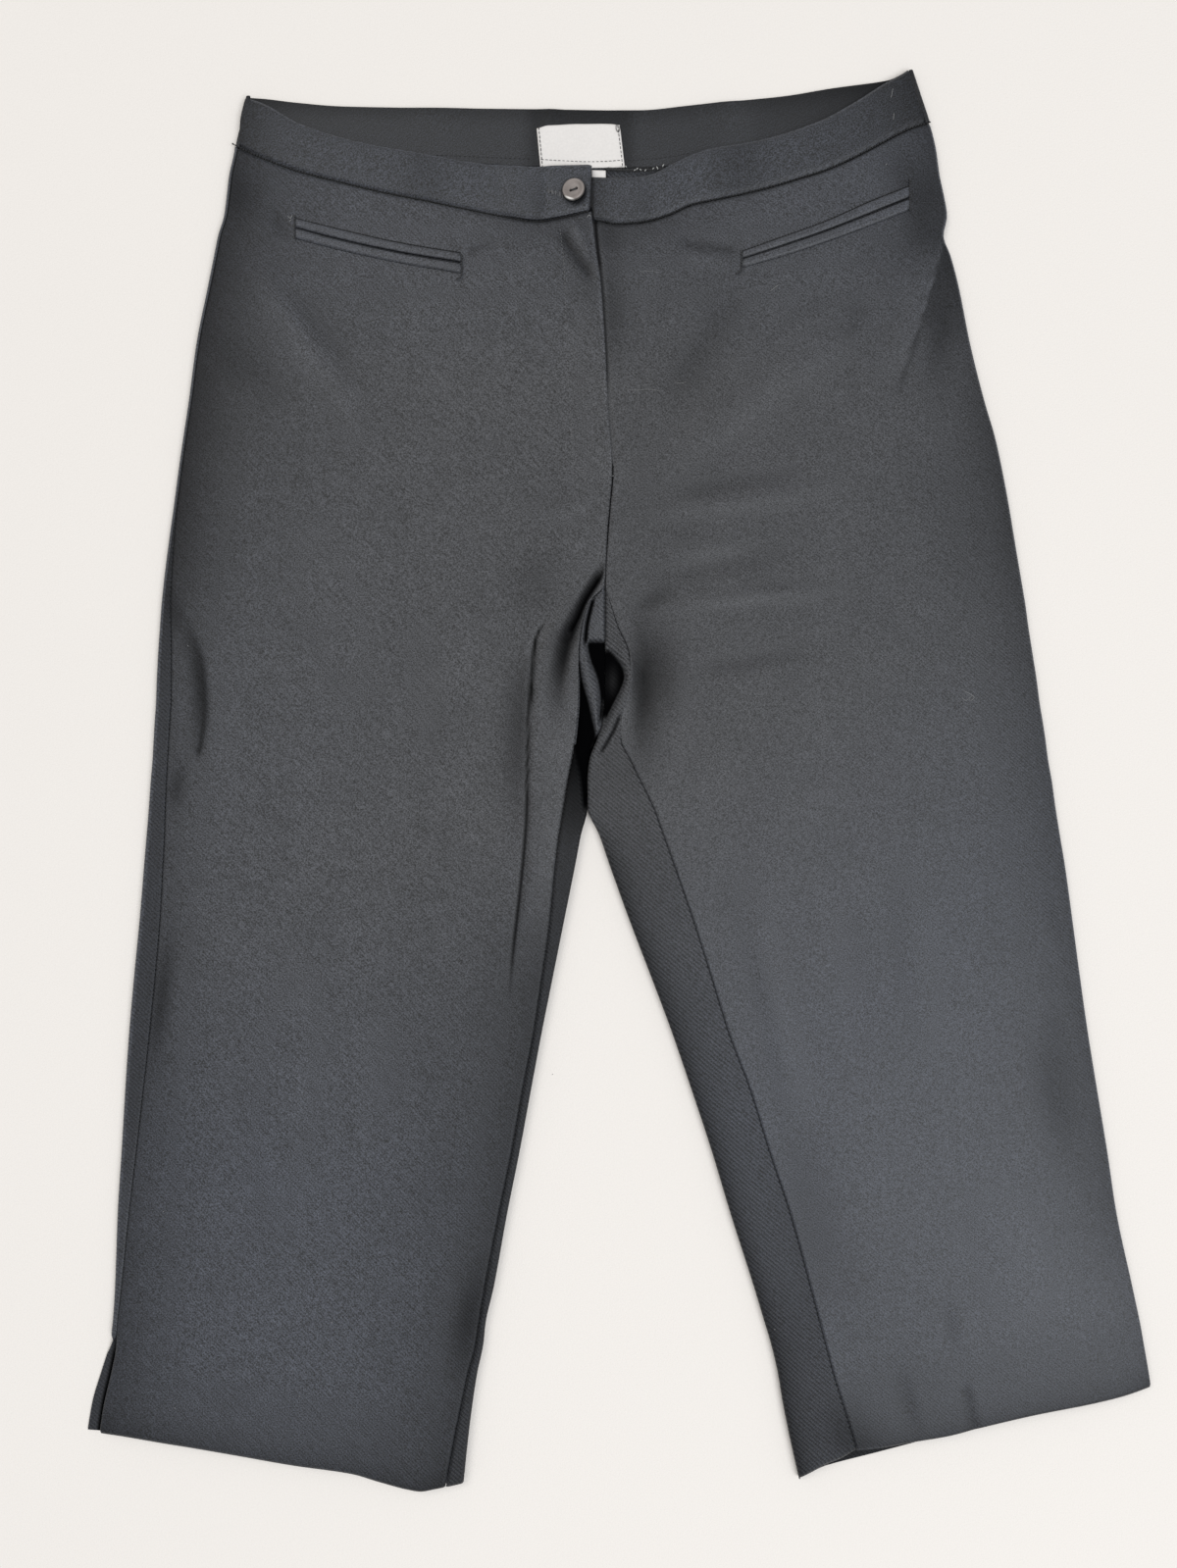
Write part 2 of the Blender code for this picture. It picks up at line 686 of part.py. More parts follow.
def zip_tape():
    """Tape under the meeting edges of the two front panels."""
    rows = []
    for share in spread(10):
        y = mix(ZIP_BOTTOM, ZIP_TOP, share)
        middle = section(R_FRONT, y)
        row = []
        for across in spread(5):
            x = middle + mix(-ZIP_HALF_WIDTH, ZIP_HALF_WIDTH, across)
            lowest = min(left_side_height(x, y), left_side_height(middle, y))
            row.append((x, y, lowest - CLOTH - 2 * SEAM))
        rows.append(row)
    return rows


def button(surface, collection, cutters, base):
    """Round button turned from its profile, with two holes."""
    radius = BUTTON_DIAMETER / 2
    profile = (
        (0.0, 0.66), (0.62, 0.72), (0.78, 0.96), (0.88, 1.0), (0.97, 0.8),
        (1.0, 0.45), (0.95, 0.1), (0.84, 0.0), (0.0, 0.0),
    )
    mesh = bpy.data.meshes.new("button")
    shape = bmesh.new()
    verts = [shape.verts.new((r * radius * MM, 0.0, z * BUTTON_THICKNESS * MM))
             for r, z in profile]
    for first, second in zip(verts, verts[1:]):
        shape.edges.new((first, second))
    shape.to_mesh(mesh)
    shape.free()
    made = place_object("button", mesh, surface, collection)
    turn = made.modifiers.new("Turn", "SCREW")
    turn.axis = "Z"
    turn.angle = math.tau
    turn.steps = 32
    turn.render_steps = 32
    turn.use_merge_vertices = True
    turn.merge_threshold = 0.00001
    turn.use_normal_calculate = True
    for number, side in enumerate((-1, 1)):
        turn_angle = math.radians(HOLE_TURN)
        shape = bmesh.new()
        bmesh.ops.create_cone(shape, cap_ends=True, segments=12,
                              radius1=HOLE_DIAMETER / 2 * MM,
                              radius2=HOLE_DIAMETER / 2 * MM, depth=12 * MM)
        mesh = bpy.data.meshes.new(f"button_hole_{number}")
        shape.to_mesh(mesh)
        shape.free()
        cutter = bpy.data.objects.new(f"button_hole_{number}", mesh)
        cutters.objects.link(cutter)
        cutter.hide_render = True
        cutter.display_type = "WIRE"
        cutter.parent = made
        cutter.location = (side * HOLE_SPACING / 2 * math.cos(turn_angle) * MM,
                           side * HOLE_SPACING / 2 * math.sin(turn_angle) * MM, 0.0)
        cut = made.modifiers.new(f"Hole_{number}", "BOOLEAN")
        cut.operation = "DIFFERENCE"
        cut.solver = "EXACT"
        cut.object = cutter
    made.rotation_euler = [math.radians(a) for a in BUTTON_TILT]
    made.location = (BUTTON_CENTRE[0] * MM, BUTTON_CENTRE[1] * MM, base * MM)
    return made


def main():
    for old in list(bpy.data.objects):
        bpy.data.objects.remove(old)
    trousers = bpy.data.collections.new("Cropped_Trousers")
    cutters = bpy.data.collections.new("Cutters")
    bpy.context.scene.collection.children.link(trousers)
    bpy.context.scene.collection.children.link(cutters)

    black = (0.012, 0.012, 0.014)
    shares = row_shares()
    right_panel = cloth("front_panel_right", front_right(shares), CLOTH,
                        material("twill_front_right", black, 0.8, 0.2), trousers)
    left_panel = cloth("front_panel_left", front_left(shares), CLOTH,
                       material("twill_front_left", black, 0.8, 0.2), trousers)
    cloth("back_panel_right", back_right(shares), CLOTH,
          material("twill_back_right", black, 0.8, 0.2), trousers)
    cloth("back_panel_left", back_left(shares), CLOTH,
          material("twill_back_left", black, 0.8, 0.2), trousers)
    right_band = cloth("waistband_front_right", front_band_right(), BAND,
                       material("twill_band_right", black, 0.8, 0.2), trousers)
    cloth("waistband_front_left", front_band_left(), BAND,
          material("twill_band_left", black, 0.8, 0.2), trousers)
    cloth("waistband_back", back_band(), BAND,
          material("twill_band_back", black, 0.8, 0.2), trousers)
    cloth("zip_tape", zip_tape(), WELT, material("zip_black", (0.01, 0.01, 0.01), 0.6), trousers)

    for side, table, panel in (("right", POCKET_RIGHT, right_panel),
                               ("left", POCKET_LEFT, left_panel)):
        tree = panel_tree(panel)
        for name, lower, upper in (("upper", 2, 1), ("lower", 3, 2)):
            cloth(f"welt_{side}_{name}", welt(table, lower, upper, tree), WELT,
                  material(f"twill_welt_{side}_{name}", black, 0.8, 0.2), trousers)

    white = (0.8, 0.79, 0.76)
    cloth("label", patch(LABEL_CORNERS, 7, 4, BAND + SEAM + WELT), WELT,
          material("label_white", white, 0.7), trousers)
    cloth("size_tab", patch(TAB_CORNERS, 3, 3, CLOTH + SEAM + WELT), WELT,
          material("tab_white", white, 0.7), trousers)

    tree = panel_tree(right_band)
    reach = BUTTON_DIAMETER / 2
    rest = max(height_on(tree, BUTTON_CENTRE[0] + dx, BUTTON_CENTRE[1] + dy)
               for dx in (-reach, 0.0, reach) for dy in (-reach, 0.0, reach))
    button(material("button_pearl", (0.12, 0.1, 0.09), 0.25), trousers, cutters, rest + 1.3)


main()
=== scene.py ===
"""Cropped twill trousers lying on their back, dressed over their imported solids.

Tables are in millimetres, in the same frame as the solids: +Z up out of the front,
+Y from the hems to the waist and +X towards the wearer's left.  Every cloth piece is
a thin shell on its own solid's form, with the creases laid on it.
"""

import math

import bmesh
import bpy
import numpy as np
from bpy.props import FloatProperty, FloatVectorProperty, PointerProperty
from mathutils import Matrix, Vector


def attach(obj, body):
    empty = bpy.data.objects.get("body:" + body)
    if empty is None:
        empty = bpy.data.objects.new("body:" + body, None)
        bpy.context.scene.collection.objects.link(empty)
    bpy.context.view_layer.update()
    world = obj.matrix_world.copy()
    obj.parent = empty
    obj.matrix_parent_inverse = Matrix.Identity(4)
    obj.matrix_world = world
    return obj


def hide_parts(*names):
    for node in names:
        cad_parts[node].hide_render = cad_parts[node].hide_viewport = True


bl_info = {
    "name": "Cropped twill trousers",
    "version": (1, 0, 0),
    "blender": (4, 5, 0),
    "location": "3D View > Sidebar > Trousers",
    "description": "Dresses the solids of a pair of cropped trousers",
    "category": "Object",
}

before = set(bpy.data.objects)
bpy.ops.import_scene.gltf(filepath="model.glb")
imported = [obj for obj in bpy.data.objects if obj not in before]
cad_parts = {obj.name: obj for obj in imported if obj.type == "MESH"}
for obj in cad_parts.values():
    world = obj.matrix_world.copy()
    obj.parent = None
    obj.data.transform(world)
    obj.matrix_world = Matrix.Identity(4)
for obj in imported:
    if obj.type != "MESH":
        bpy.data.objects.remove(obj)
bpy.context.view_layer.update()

MM = 0.001
BODY = "root"

# Heights and spaces, as the solids have them.  The waistband's strip is what shows of
# the back one on top, and the reach is how far the underside goes under the inner leg.
BAND_WALL = 1.5
EDGE_HEIGHT = 3.8
LAYER_RISE = 3.6
RISE_WIDTH = 56.0
BAND_STEP = 0.5
SEAM = 0.3
TOUCH = 0.02
LEAST_STRIP = 2.6
BAND_STRIP = LEAST_STRIP + 0.4
UNDER_TURN = 18.0
FLY_LIFT = 0.9
FLY_WIDTH = 26.0
SLIT_TOP = -338.0
SLIT_BLEND = 14.0
SLIT_GAP = 1.0
SLIT_INSET = 6.0
UNDER_REACH = 1.1
BAND_SPACE = 0.6
FLY_SPACE = 0.6
FOLD_RADIUS = 1.9
CROTCH_TOP = 119.0
LEVEL_ROW = 128.0
HOLLOW_FLOOR = 1.4

# Outline of the legs: y, right leg outer edge, strip of back panel on it, right front
# panel's inner edge, right leg inner edge, left leg inner edge, left front panel's
# inner edge, outer edge.
SECTIONS = (
    (434, -227.5, 2.6, -15.6, -7.8, -7.8, -15.6, 180.4),
    (418, -230.4, 2.6, -15.6, -7.8, -7.8, -15.6, 185.6),
    (402, -233.8, 2.6, -15.6, -7.8, -7.8, -15.6, 190.8),
    (387, -234.6, 2.6, -15.6, -7.8, -7.8, -15.6, 194.6),
    (369, -238.2, 2.6, -15.6, -7.8, -7.8, -15.6, 197.2),
    (357, -239.6, 2.6, -15.6, -7.8, -7.8, -15.6, 199.8),
    (345, -241.2, 2.6, -15.6, -7.8, -7.8, -15.6, 201.6),
    (333, -244.8, 2.6, -14.4, -7.8, -7.8, -14.4, 199.4),
    (321, -247.2, 2.6, -12.9, -7.8, -7.8, -12.9, 203.6),
    (303, -250.8, 2.6, -10.3, -7.8, -7.8, -10.3, 208.4),
    (267, -258, 2.6, -7.7, -7.8, -7.8, -7.7, 215.6),
    (231, -262.8, 2.6, -5.9, -7.8, -7.8, -5.9, 224.6),
    (210, -266, 2.6, -4.4, -7.8, -7.8, -4.4, 230.8),
    (188, -269.2, 2.6, -3.2, -7.8, -7.8, -3.2, 235.6),
    (167, -272, 2.6, -4.8, -7.8, -7.8, -4.8, 239.5),
    (150, -274.3, 3.2, -6.2, -7.8, -7.8, -6.2, 242.3),
    (119, -278.2, 5.2, -7.8, -7.8, -7.8, -7.8, 247.5),
    (107, -279.4, 6, -18.6, -7.8, -7.8, -4.6, 249.5),
    (93, -280.4, 7.4, -22.4, -7.8, -7.8, 0, 251.4),
    (77, -281.5, 8.8, -23.8, -7.8, -7.8, 6.6, 253.9),
    (61, -282.3, 9.6, -24, -7.8, -7.8, 7.8, 256.4),
    (47, -282.8, 10, -24.1, -8.2, -8.2, 4.8, 258.2),
    (35, -283.6, 10, -25, -9.4, -9.4, 1.8, 260.2),
    (25, -284.2, 10, -26, -12.6, -12.6, 1.6, 261.7),
    (12, -284.9, 10, -28.3, -17.4, -17.4, 7.4, 263.4),
    (-1, -286, 10.4, -30.8, -18.6, -18.6, 13.7, 265.7),
    (-17, -287.1, 10.8, -33.3, -18.6, -18.6, 21.5, 267.9),
    (-34, -288.5, 11.8, -36, -22.6, -11.4, 27.7, 270.6),
    (-52, -290, 12.4, -38.2, -26, -5.2, 34.1, 273.6),
    (-87, -292.9, 13.4, -41.6, -33, 7.4, 46.2, 278.4),
    (-123, -296.4, 13.8, -46.6, -40.2, 21.2, 57.6, 283.2),
    (-154, -299.1, 13.4, -51.2, -46.4, 32.8, 67.2, 287.6),
    (-187, -301.4, 12, -57.6, -52.6, 44.1, 79.7, 292.9),
    (-227, -303.8, 9.8, -64.8, -60, 57.3, 92.3, 299.5),
    (-265, -306.2, 7.6, -72.6, -67.6, 68.7, 104.9, 305.2),
    (-311, -307.9, 4.4, -81.4, -76, 83.4, 117.6, 315.1),
    (-333, -309.4, 3.4, -85, -81, 90, 123.4, 319.7),
    (-345, -311.4, 4.6, -86.8, -82.2, 93.6, 126.6, 321.8),
    (-363, -316.8, 6.8, -91.6, -86, 97.8, 131.4, 324.9),
    (-381, -322.2, 8, -95.4, -88.8, 100.8, 137, 327.4),
    (-400, -325.4, 8.2, -99.4, -91.2, 104.6, 142.8, 328.8),
    (-436, -330, 8.2, -106, -95, 112.6, 153, 332.8),
)

# Waistbands: their width, and at each x the lower seam and the top edge.
BAND_WIDTH = 30.0
BAND_RIGHT = (
    (-240, 391.4, 423), (-230, 385.8, 418.2), (-216, 379.4, 412.8), (-195, 371.6, 401),
    (-169, 364.9, 392.2), (-144, 358.9, 386.6), (-118, 353.8, 382.3), (-96, 349.2, 378),
    (-70, 343.9, 374.8), (-49, 340.9, 373.3), (-39, 342.3, 374), (-15, 347.4, 374.6),
)
BAND_LEFT = (
    (-56, 341.8, 368.4), (-15, 341.8, 367.8), (-1, 339.6, 367.4), (11, 340.2, 367.8), (21, 342, 369.8),
    (32, 345.6, 375.4), (45, 351.4, 381.6), (58, 354.2, 385.8), (77, 358.2, 388.8), (94, 362.4, 392.4),
    (110, 367.2, 397.4), (126, 372.2, 403.6), (145, 380.6, 414), (163, 390.2, 425.4), (174, 396, 431.4),
    (180, 398.6, 434.9), (191, 402.2, 434.9), (200, 404.2, 434.9),
)
BAND_BACK = (
    (-240, 391.4, 421.6), (-230, 385.8, 418.2), (-214, 385, 417), (-198, 384.2, 415.1),
    (-168, 382.6, 412.7), (-118, 380, 411.8), (-50, 375.8, 411), (12, 375.6, 410.2), (42, 376.4, 413),
    (72, 378.4, 416), (102, 381.2, 419), (132, 386.2, 423.9), (150, 391, 426.3), (165, 394.6, 428.4),
    (180, 398.6, 434), (191, 402.2, 436), (200, 404.2, 436),
)
RIGHT_BAND_END = ((340.0, -17.8), (374.6, -15.9))   # y, x of the buttonhole end
BAND_START = -15.25
UNDERLAP = 35.0
UNDERLAP_COLUMNS = 8
UNDERLAP_STEP = 5.8

# Hems: x, top layer, bottom layer.
HEM_RIGHT = (
    (-331, -398.4, -398.4), (-306, -400.4, -400.4), (-270, -405.6, -405.6), (-234, -411.7, -411.7),
    (-198, -418, -418), (-162, -423.2, -423.2), (-147, -427.6, -427.6), (-138, -430.2, -430.2),
    (-129, -432.6, -432.8), (-120, -434.1, -434.3), (-112, -432.9, -433.2), (-96, -430.2, -430.2),
    (-90, -429.4, -429.4),
)
HEM_LEFT = (
    (105, -428.8, -429.8), (111, -426.4, -428), (129, -416.6, -420.4), (136, -413.8, -418.6),
    (146, -408.5, -416), (155, -407.4, -413.8), (165, -406.5, -411.2), (183, -403.8, -406.4),
    (201, -400.8, -401.2), (219, -396.2, -396.2), (255, -387.8, -387.8), (291, -380.8, -380.8),
    (309, -376.8, -376.8), (330, -370.4, -370.4),
)

# Folds of the top cloth: half width on the left and right of the path, height, painted shade
# laid along it (below zero: a painted highlight on the ridge), and the path as
# x, y, x, y and so on.
FOLDS_RIGHT = (
    # crevice beside the crotch, and its soft end
    (1.5, 4.2, -3.8, 1, -6.8, 135.6, -11.4, 123, -16.2, 115.2, -20.4, 108, -24, 99.6, -28.6, 90.6,
     -31.8, 82),
    (3.8, 7.2, -2.6, 0.86, -10, 132, -20, 111, -27.2, 93, -31.6, 80, -34.4, 66, -36.4, 48, -37.4, 26),
    # painted shade along the fly
    (9, 11, 0, 0.14, -23, 346, -20, 322, -16.5, 298, -13, 270),
    # painted shade under the waistband
    (13, 13, -0.4, 0.2, -238, 380, -229, 357, -219, 333),
    (2.5, 2.5, -0.6, 0.13, -92, 322.5, -84, 324.5, -72, 326.5),
    (5.5, 5.5, 1.3, 0, -15.6, 126, -26.4, 109.2, -37.2, 90, -42, 69, -43.8, 42),
    # long crease of the inner thigh, and the bulge beside it
    (0.9, 1.3, -0.8, 0.75, -42, 99, -46.8, 93, -50.4, 83.4, -52.2, 70.2, -53.4, 55.2, -54.6, 31.8,
     -55.2, 3, -56, -27, -59, -61.8, -63, -96.6, -65.2, -118, -66.6, -138),
    (4.5, 12, -0.5, 0.34, -52, 94, -57, 66, -59.4, 30, -60.6, -6, -64, -60),
    (15, 18, -0.2, 0.18, -50, 160, -50, 130, -50, 106, -58, 74),
    (0.8, 0.8, -0.8, 0.95, -42.6, 98, -49.2, 88.2, -51.4, 75, -51.8, 65.4, -53, 50, -54.2, 36),
    (14, 2.6, 1.5, 0, -38.4, 95.4, -43.2, 87, -46.8, 73.8, -48.6, 55.2, -49.8, 31.8, -51, 3, -52.8, -39,
     -54, -63, -58.2, -87.6, -61.8, -117),
    (1.4, 1.6, 0.9, 0, -10.2, 117, -16.2, 110.4, -19.8, 101.4, -22.2, 88.2, -23.1, 72, -23.7, 57, -24.6,
     33),
    (9, 9, 0.7, 0, -37.2, 45, -38.4, 15, -41.4, -21, -46.8, -66, -51, -99),
    # side of the thigh
    (5, 5, -0.4, 0.26, -281, 128, -273, 110, -268, 94, -264, 80),
    (3.3, 6.5, -1.8, 0.6, -271, 109, -263.4, 94, -256.2, 76, -253.4, 56, -252.8, 37, -254, 18, -258.6,
     -4),
    (1.6, 2.6, -0.4, 0.62, -253.6, 54, -252.8, 38, -253.8, 24, -256.4, 10),
    (5, 5, -0.6, 0.32, -262, 16, -267.4, 2, -270, -12, -270, -28),
    (6.5, 4.5, -0.5, 0.38, -271, -70, -275, -104, -279, -135, -282.5, -164, -285, -196),
    (7, 7, 0.5, 0, -260.4, 117, -250.8, 93, -244.8, 69, -243.6, 42, -246, 18, -249.6, -3),
    # drag lines from the hip
    (8.5, 9.5, 1.7, -0.13, -230, 334, -212, 297, -190, 265, -164, 227, -151, 186),
    (14, 14, -0.8, 0.15, -245, 292, -234, 261, -212, 236, -203, 206),
    (8, 8, -0.6, 0.1, -205, 312, -188, 284, -164, 252, -146, 222),
    (5, 5, -0.6, 0.16, -215, 352, -206, 340, -201, 326),
    (15, 15, 0.9, 0, -198, 171, -180, 123, -166.8, 75, -156, 24),
    (14, 14, -0.6, 0, -126, 141, -121.2, 87, -116.4, 33, -114, -21),
    # foot of the fly
    (4, 4, 1, 0, -1.8, 183.6, -15.6, 175.2, -23.4, 168, -37.8, 163.8, -54, 163.8, -75, 168),
    (4.5, 4.5, -0.6, 0, -7.2, 172.8, -18, 164.4, -30, 157.8, -45, 156, -63, 158.4),
    (3.1, 3.6, -1.4, 0.44, -34.6, 339, -31.2, 329, -25.5, 320, -19.6, 311.4, -14.6, 301),
    (3, 3, 0.8, -0.16, -27, 340, -22, 328, -16, 317),
    (5, 5, 0.6, 0, -10.8, 133.8, -30, 126, -51, 123, -75, 126),
    # lower leg
    (16, 16, 0.8, 0, -190.2, -75, -198, -153, -207, -231, -216, -309),
    (18, 18, -0.5, 0, -138, -99, -141, -171, -147, -243),
    (8, 9, -0.4, 0.34, -80, -278, -89, -314, -95, -344, -99, -380),
)
FOLDS_LEFT = (
    # seat
    (6, 6, 1.5, -0.1, 0, 157.2, 36, 164, 72, 170, 114, 176, 154, 184),
    (6, 6, -0.9, 0.1, 14, 168, 52, 178, 92, 184, 136, 192),
    (7, 7, -1.3, 0.06, -1.2, 120.6, 36, 126, 78, 134.4, 120, 143.4),
    (5, 5, 1.1, -0.08, 12, 101, 42, 107, 78, 112, 116, 115, 156, 121),
    (6, 6, -0.9, 0.1, 34, 65, 60, 70, 92, 75, 136, 83),
    (5, 5, 0.8, -0.06, 22, 138, 50, 140, 84, 143),
    # dimple beside the crotch
    (11.5, 6, -2, 0.6, 6, 128, 10.6, 102, 13.8, 82, 15.2, 66, 14.6, 50, 13.6, 34, 12.5, 14, 11, -10),
    (15, 9, -1.4, 0.44, 11, 112, 17, 86, 19, 64, 16, 42, 12, 6),
    (3.5, 3.5, -0.6, 0.68, 10, 92, 14, 76, 15.5, 62, 14.5, 48, 12.5, 30),
    (6, 6, -0.6, 0.26, 4, 98, 20, 109, 40, 119),
    # shade beside the top of the fly
    (1.2, 1.4, -0.6, 0.85, -13.8, 350, -13.4, 336, -12, 321, -9.8, 305),
    (1.2, 1.5, -0.3, 0.6, -12, 324, -9.6, 300, -7.6, 268, -6.2, 226),
    (9, 6, -0.3, 0.2, -9, 347, -6, 330, -3, 312),
    (10, 4, -0.3, 0.24, -8, 334, -5, 304, -4, 272, -4, 236),
    (8, 8, 0.6, 0, 31.2, 93, 36, 69, 36, 45, 31.2, 18),
    # drag lines from the pocket
    (11, 12, 1.8, -0.12, 178, 303, 124, 262, 76, 229, 34, 193, 4, 164),
    (4.5, 5, 1, -0.12, 118, 291, 92, 273, 68, 249, 42, 218),
    (6, 6, -0.8, 0.1, 152, 304, 112, 286, 76, 259, 46, 230),
    (9, 9, -1, 0.14, 84, 301, 64, 282, 40, 246, 24, 222),
    (3, 3.4, -1, 0.24, 34, 329, 50, 326, 62, 324, 78, 322),
    (3.4, 3.4, 0.7, -0.1, 36, 319, 54, 316.6, 76, 316),
    (10, 10, -0.5, 0.14, 152, 300, 143, 280, 131, 258),
    (6, 7, 0.8, -0.13, 191, 320, 181, 288, 168, 260, 150, 236),
    # hip
    (1.6, 12, 1.5, 0, 198.6, 334.2, 194.4, 319.8, 190.2, 304.8, 185.4, 286.8, 180.6, 272.4, 177.6, 258,
     172.2, 241.8),
    (5, 4, -0.9, 0.15, 201.6, 319.8, 199.2, 303, 196.2, 279, 195, 255, 196.2, 225),
    (22, 1.5, -0.3, 0.28, 201, 352, 199.6, 330, 193.8, 309, 188.4, 288, 184, 266),
    (2.8, 1, -0.2, 0.3, 192, 308, 187.4, 290, 183.2, 275, 178.6, 261, 173.4, 248, 169, 232),
    (10, 9, -0.4, 0.27, 201.5, 330, 201, 308, 199.4, 290, 196, 270, 192, 248, 187, 216),
    (1.6, 10, 0, -0.12, 196, 332, 188, 304, 179, 278, 169, 250),
    # painted shade beside the pocket's outer end
    (13, 13, -0.3, 0.26, 152, 394, 170, 378, 182, 362, 185, 342, 181, 322, 174, 296),
    (5, 5, -0.4, 0.24, 187, 382, 190, 364, 190, 350, 186, 332),
    (0.8, 0.9, 0.3, -0.5, 200, 334, 195.4, 318, 190, 301, 185, 284, 180.6, 270),
    (4, 6, 0.8, 0, 198, 363, 200.4, 349.8, 199.2, 337.8),
    # lower leg
    (10, 9, 1.1, 0, 69, -39, 81, -81, 93, -129, 103.8, -183, 111, -231),
    (10, 10, 0.9, 0, 171, -33, 177, -81, 184.8, -135, 192.6, -190.2),
    (12, 12, -0.6, 0, 132, -51, 141, -105, 150, -165),
    (6, 5, 0.8, 0, 253.2, -66, 260.4, -87, 264, -111),
    (7, 6, -0.6, 0.12, 261.6, -129, 266.4, -153, 271.2, -177),
    (14, 12, -0.7, 0.2, 254, -130, 263, -172, 270, -208, 279, -250),
    (22, 20, 1, -0.1, 216, -236, 240, -290, 258, -345),
    (2.6, 4.5, -0.7, 0.17, 210, -366, 214, -382, 218, -400),
    (5, 7, -0.5, 0.13, 168, -350, 176, -378, 184, -406),
    (15, 13, -0.3, 0.26, 126, -366, 136, -390, 148, -412, 158, -430),
    (4, 5.5, -0.5, 0.1, 198, -310, 202, -332, 207, -356),
    (24, 18, -0.5, 0.13, 96, -180, 114, -262, 130, -372),
    # rim of the left leg beside the crotch
    (3.4, 3.4, 2.1, -0.1, -7.2, 100.2, -1.8, 90, 3, 79.8, 6.6, 69, 6, 57, 1.2, 45, -4.8, 34.2, -10.8,
     23.4, -15.6, 13.8, -17.2, 3, -16.2, -7.8),
    (0.9, 1, -1.4, 0.7, 2.4, 42.4, -1.8, 31.8, -6.6, 22.8, -12, 14),
    # press mark on the thigh, a low ridge with a painted highlight
    (1.6, 1.6, 0.4, -0.2, 109.2, 63, 117, 49.8, 124.2, 34.8, 127.2, 18),
)
# Folds where the two legs meet, on the back panels' turned edges, with their painted shade,
# and the outlines of the two hollows between them, which are painted black as shade.
FOLDS_CROTCH = (
    # flap under the meeting of the seams, and the crevice beside it
    (3.4, 3.4, 0.9, 0, -11.4, 110.2, -13.2, 99.8, -13.8, 85),
    (1, 1, -3.2, 1, -14.4, 112.6, -17.4, 101.4, -19.2, 92.4, -20.1, 80.8),
    # strip between the two hollows
    (2.4, 2.4, 1.4, 0, -19.8, 83.8, -19.2, 66.6, -16.2, 54, -13.2, 40.2, -12.6, 23),
)
EYE = (-18, 82.8, -13.8, 84, -8.4, 83.4, -7.2, 79.8, -4.2, 77.4, -0.6, 73.2, 2.4, 68.4, 3.6, 63, 2.4,
    58.2, 0, 52.8, -3.6, 45.6, -7.2, 38.4, -10.2, 32.4, -10.8, 39, -10.2, 48, -11.4, 58.8, -13.8, 66.6,
    -16.2, 72.6)
WEDGE = (-25, 71, -22.8, 63, -21, 55.8, -18.6, 48, -16.2, 37.2, -14.1, 26.4, -16.5, 19.8, -18.9, 11.4,
    -20.1, 3, -20.1, -6.6, -18.6, -16.2, -20.4, -16.2, -21.3, -6.6, -22.2, 3, -24, 12, -27, 24, -30, 34,
    -31, 50)

# Pocket welts: x, upper line, middle line, lower line.
POCKET_RIGHT = (
    (-197, 342.6, 336.4, 329.6), (-168.6, 335.4, 328.8, 322.2), (-132, 327.2, 320.8, 314.2),
    (-95.2, 321, 314.6, 307.8),
)
POCKET_LEFT = (
    (75.2, 322, 317, 311.4), (99.6, 330.8, 325, 318.4), (127.2, 341, 334.6, 327.6),
    (152, 352.2, 344.4, 336.8), (178, 362.8, 355, 347.4),
)
LABEL_CORNERS = ((-47.4, 373.8), (4.2, 375.0), (1.2, 401.4), (-49.8, 400.2))
TAB_CORNERS = ((-16.0, 365.6), (-7.4, 365.4), (-7.4, 373.2), (-16.0, 373.4))
ON_LABEL = 2.75
BUTTON_CENTRE = (-26.8, 357.3)
BUTTON_TILT = (-9.0, -9.0, 15.0)    # degrees about X, Y and Z
BUTTON_THICKNESS = 2.7
HOLE_DIAMETER = 1.9
HOLE_SPACING = 3.6

# Overlock sewing in the waist opening: x, y and lean of the pale threads in it.
OVERLOCK_LOOPS = 46
OVERLOCK_FLECKS = (
    (2.4, 374.7, 0.5), (4.8, 374.6, -0.4), (10.2, 372.4, 0.4), (11.7, 373.2, 0.7),
    (13.8, 372.6, -0.5), (16.8, 372.3, 0.6), (21.6, 373.4, 0.5), (24, 373.8, -0.9),
    (27.6, 375.2, 0.8),
)
SEAM_BLACK = (0.006, 0.006, 0.007)
# unlit black painted where the cloth lies deep in shade
PAINTED_SHADE_BLACK = (0.0015, 0.0015, 0.0018)
# limits of the painted shade; below zero it is a painted highlight
LIGHTEST, DARKEST = -0.6, 1.0    # limits of the shade on the cloth

# Camera, in metres: half the height of what it sees, how far below it that lies, and its
# place across and along the cloth.
HALF_VIEW = 0.4797
CLOTH_DISTANCE = 0.7247
CAMERA_PLACE = (-0.018, -0.0027)

# Fibres on the cloth: what they lie on, their radius and path; and the short specks.
MARKS = (
    ("left", 0.1, 5.4, 237, 12.6, 236.7, 18, 237.4, 25.8, 236.4),
    ("left", 0.1, 34.2, 241.8, 38.4, 241.2, 41.4, 242),
    ("left", 0.08, 12.6, 309, 19.2, 309.6, 25.2, 308.8),
    ("left", 0.14, 92.4, 297, 95.4, 299.4, 97.8, 301.2),
    ("left_band", 0.16, 167.6, 421.5, 167, 418.6, 166.4, 415.6),
    ("left_band", 0.16, 168.2, 406.5, 168, 404.4, 167.8, 402.2),
    ("left", 0.16, 210, 54, 213.4, 52.4, 216.4, 50, 214, 47.6),
    ("left", 0.14, 208.6, 50, 211.6, 48.2, 215.6, 51.4),
    ("right", 0.2, -201.6, 343.8, -199.8, 342.4, -198.6, 344.4),
    ("right", 0.22, -200.4, 340.4, -199.2, 341.6),
    ("right", 0.2, -19, 342.4, -17.6, 344, -16.6, 342.8),
)
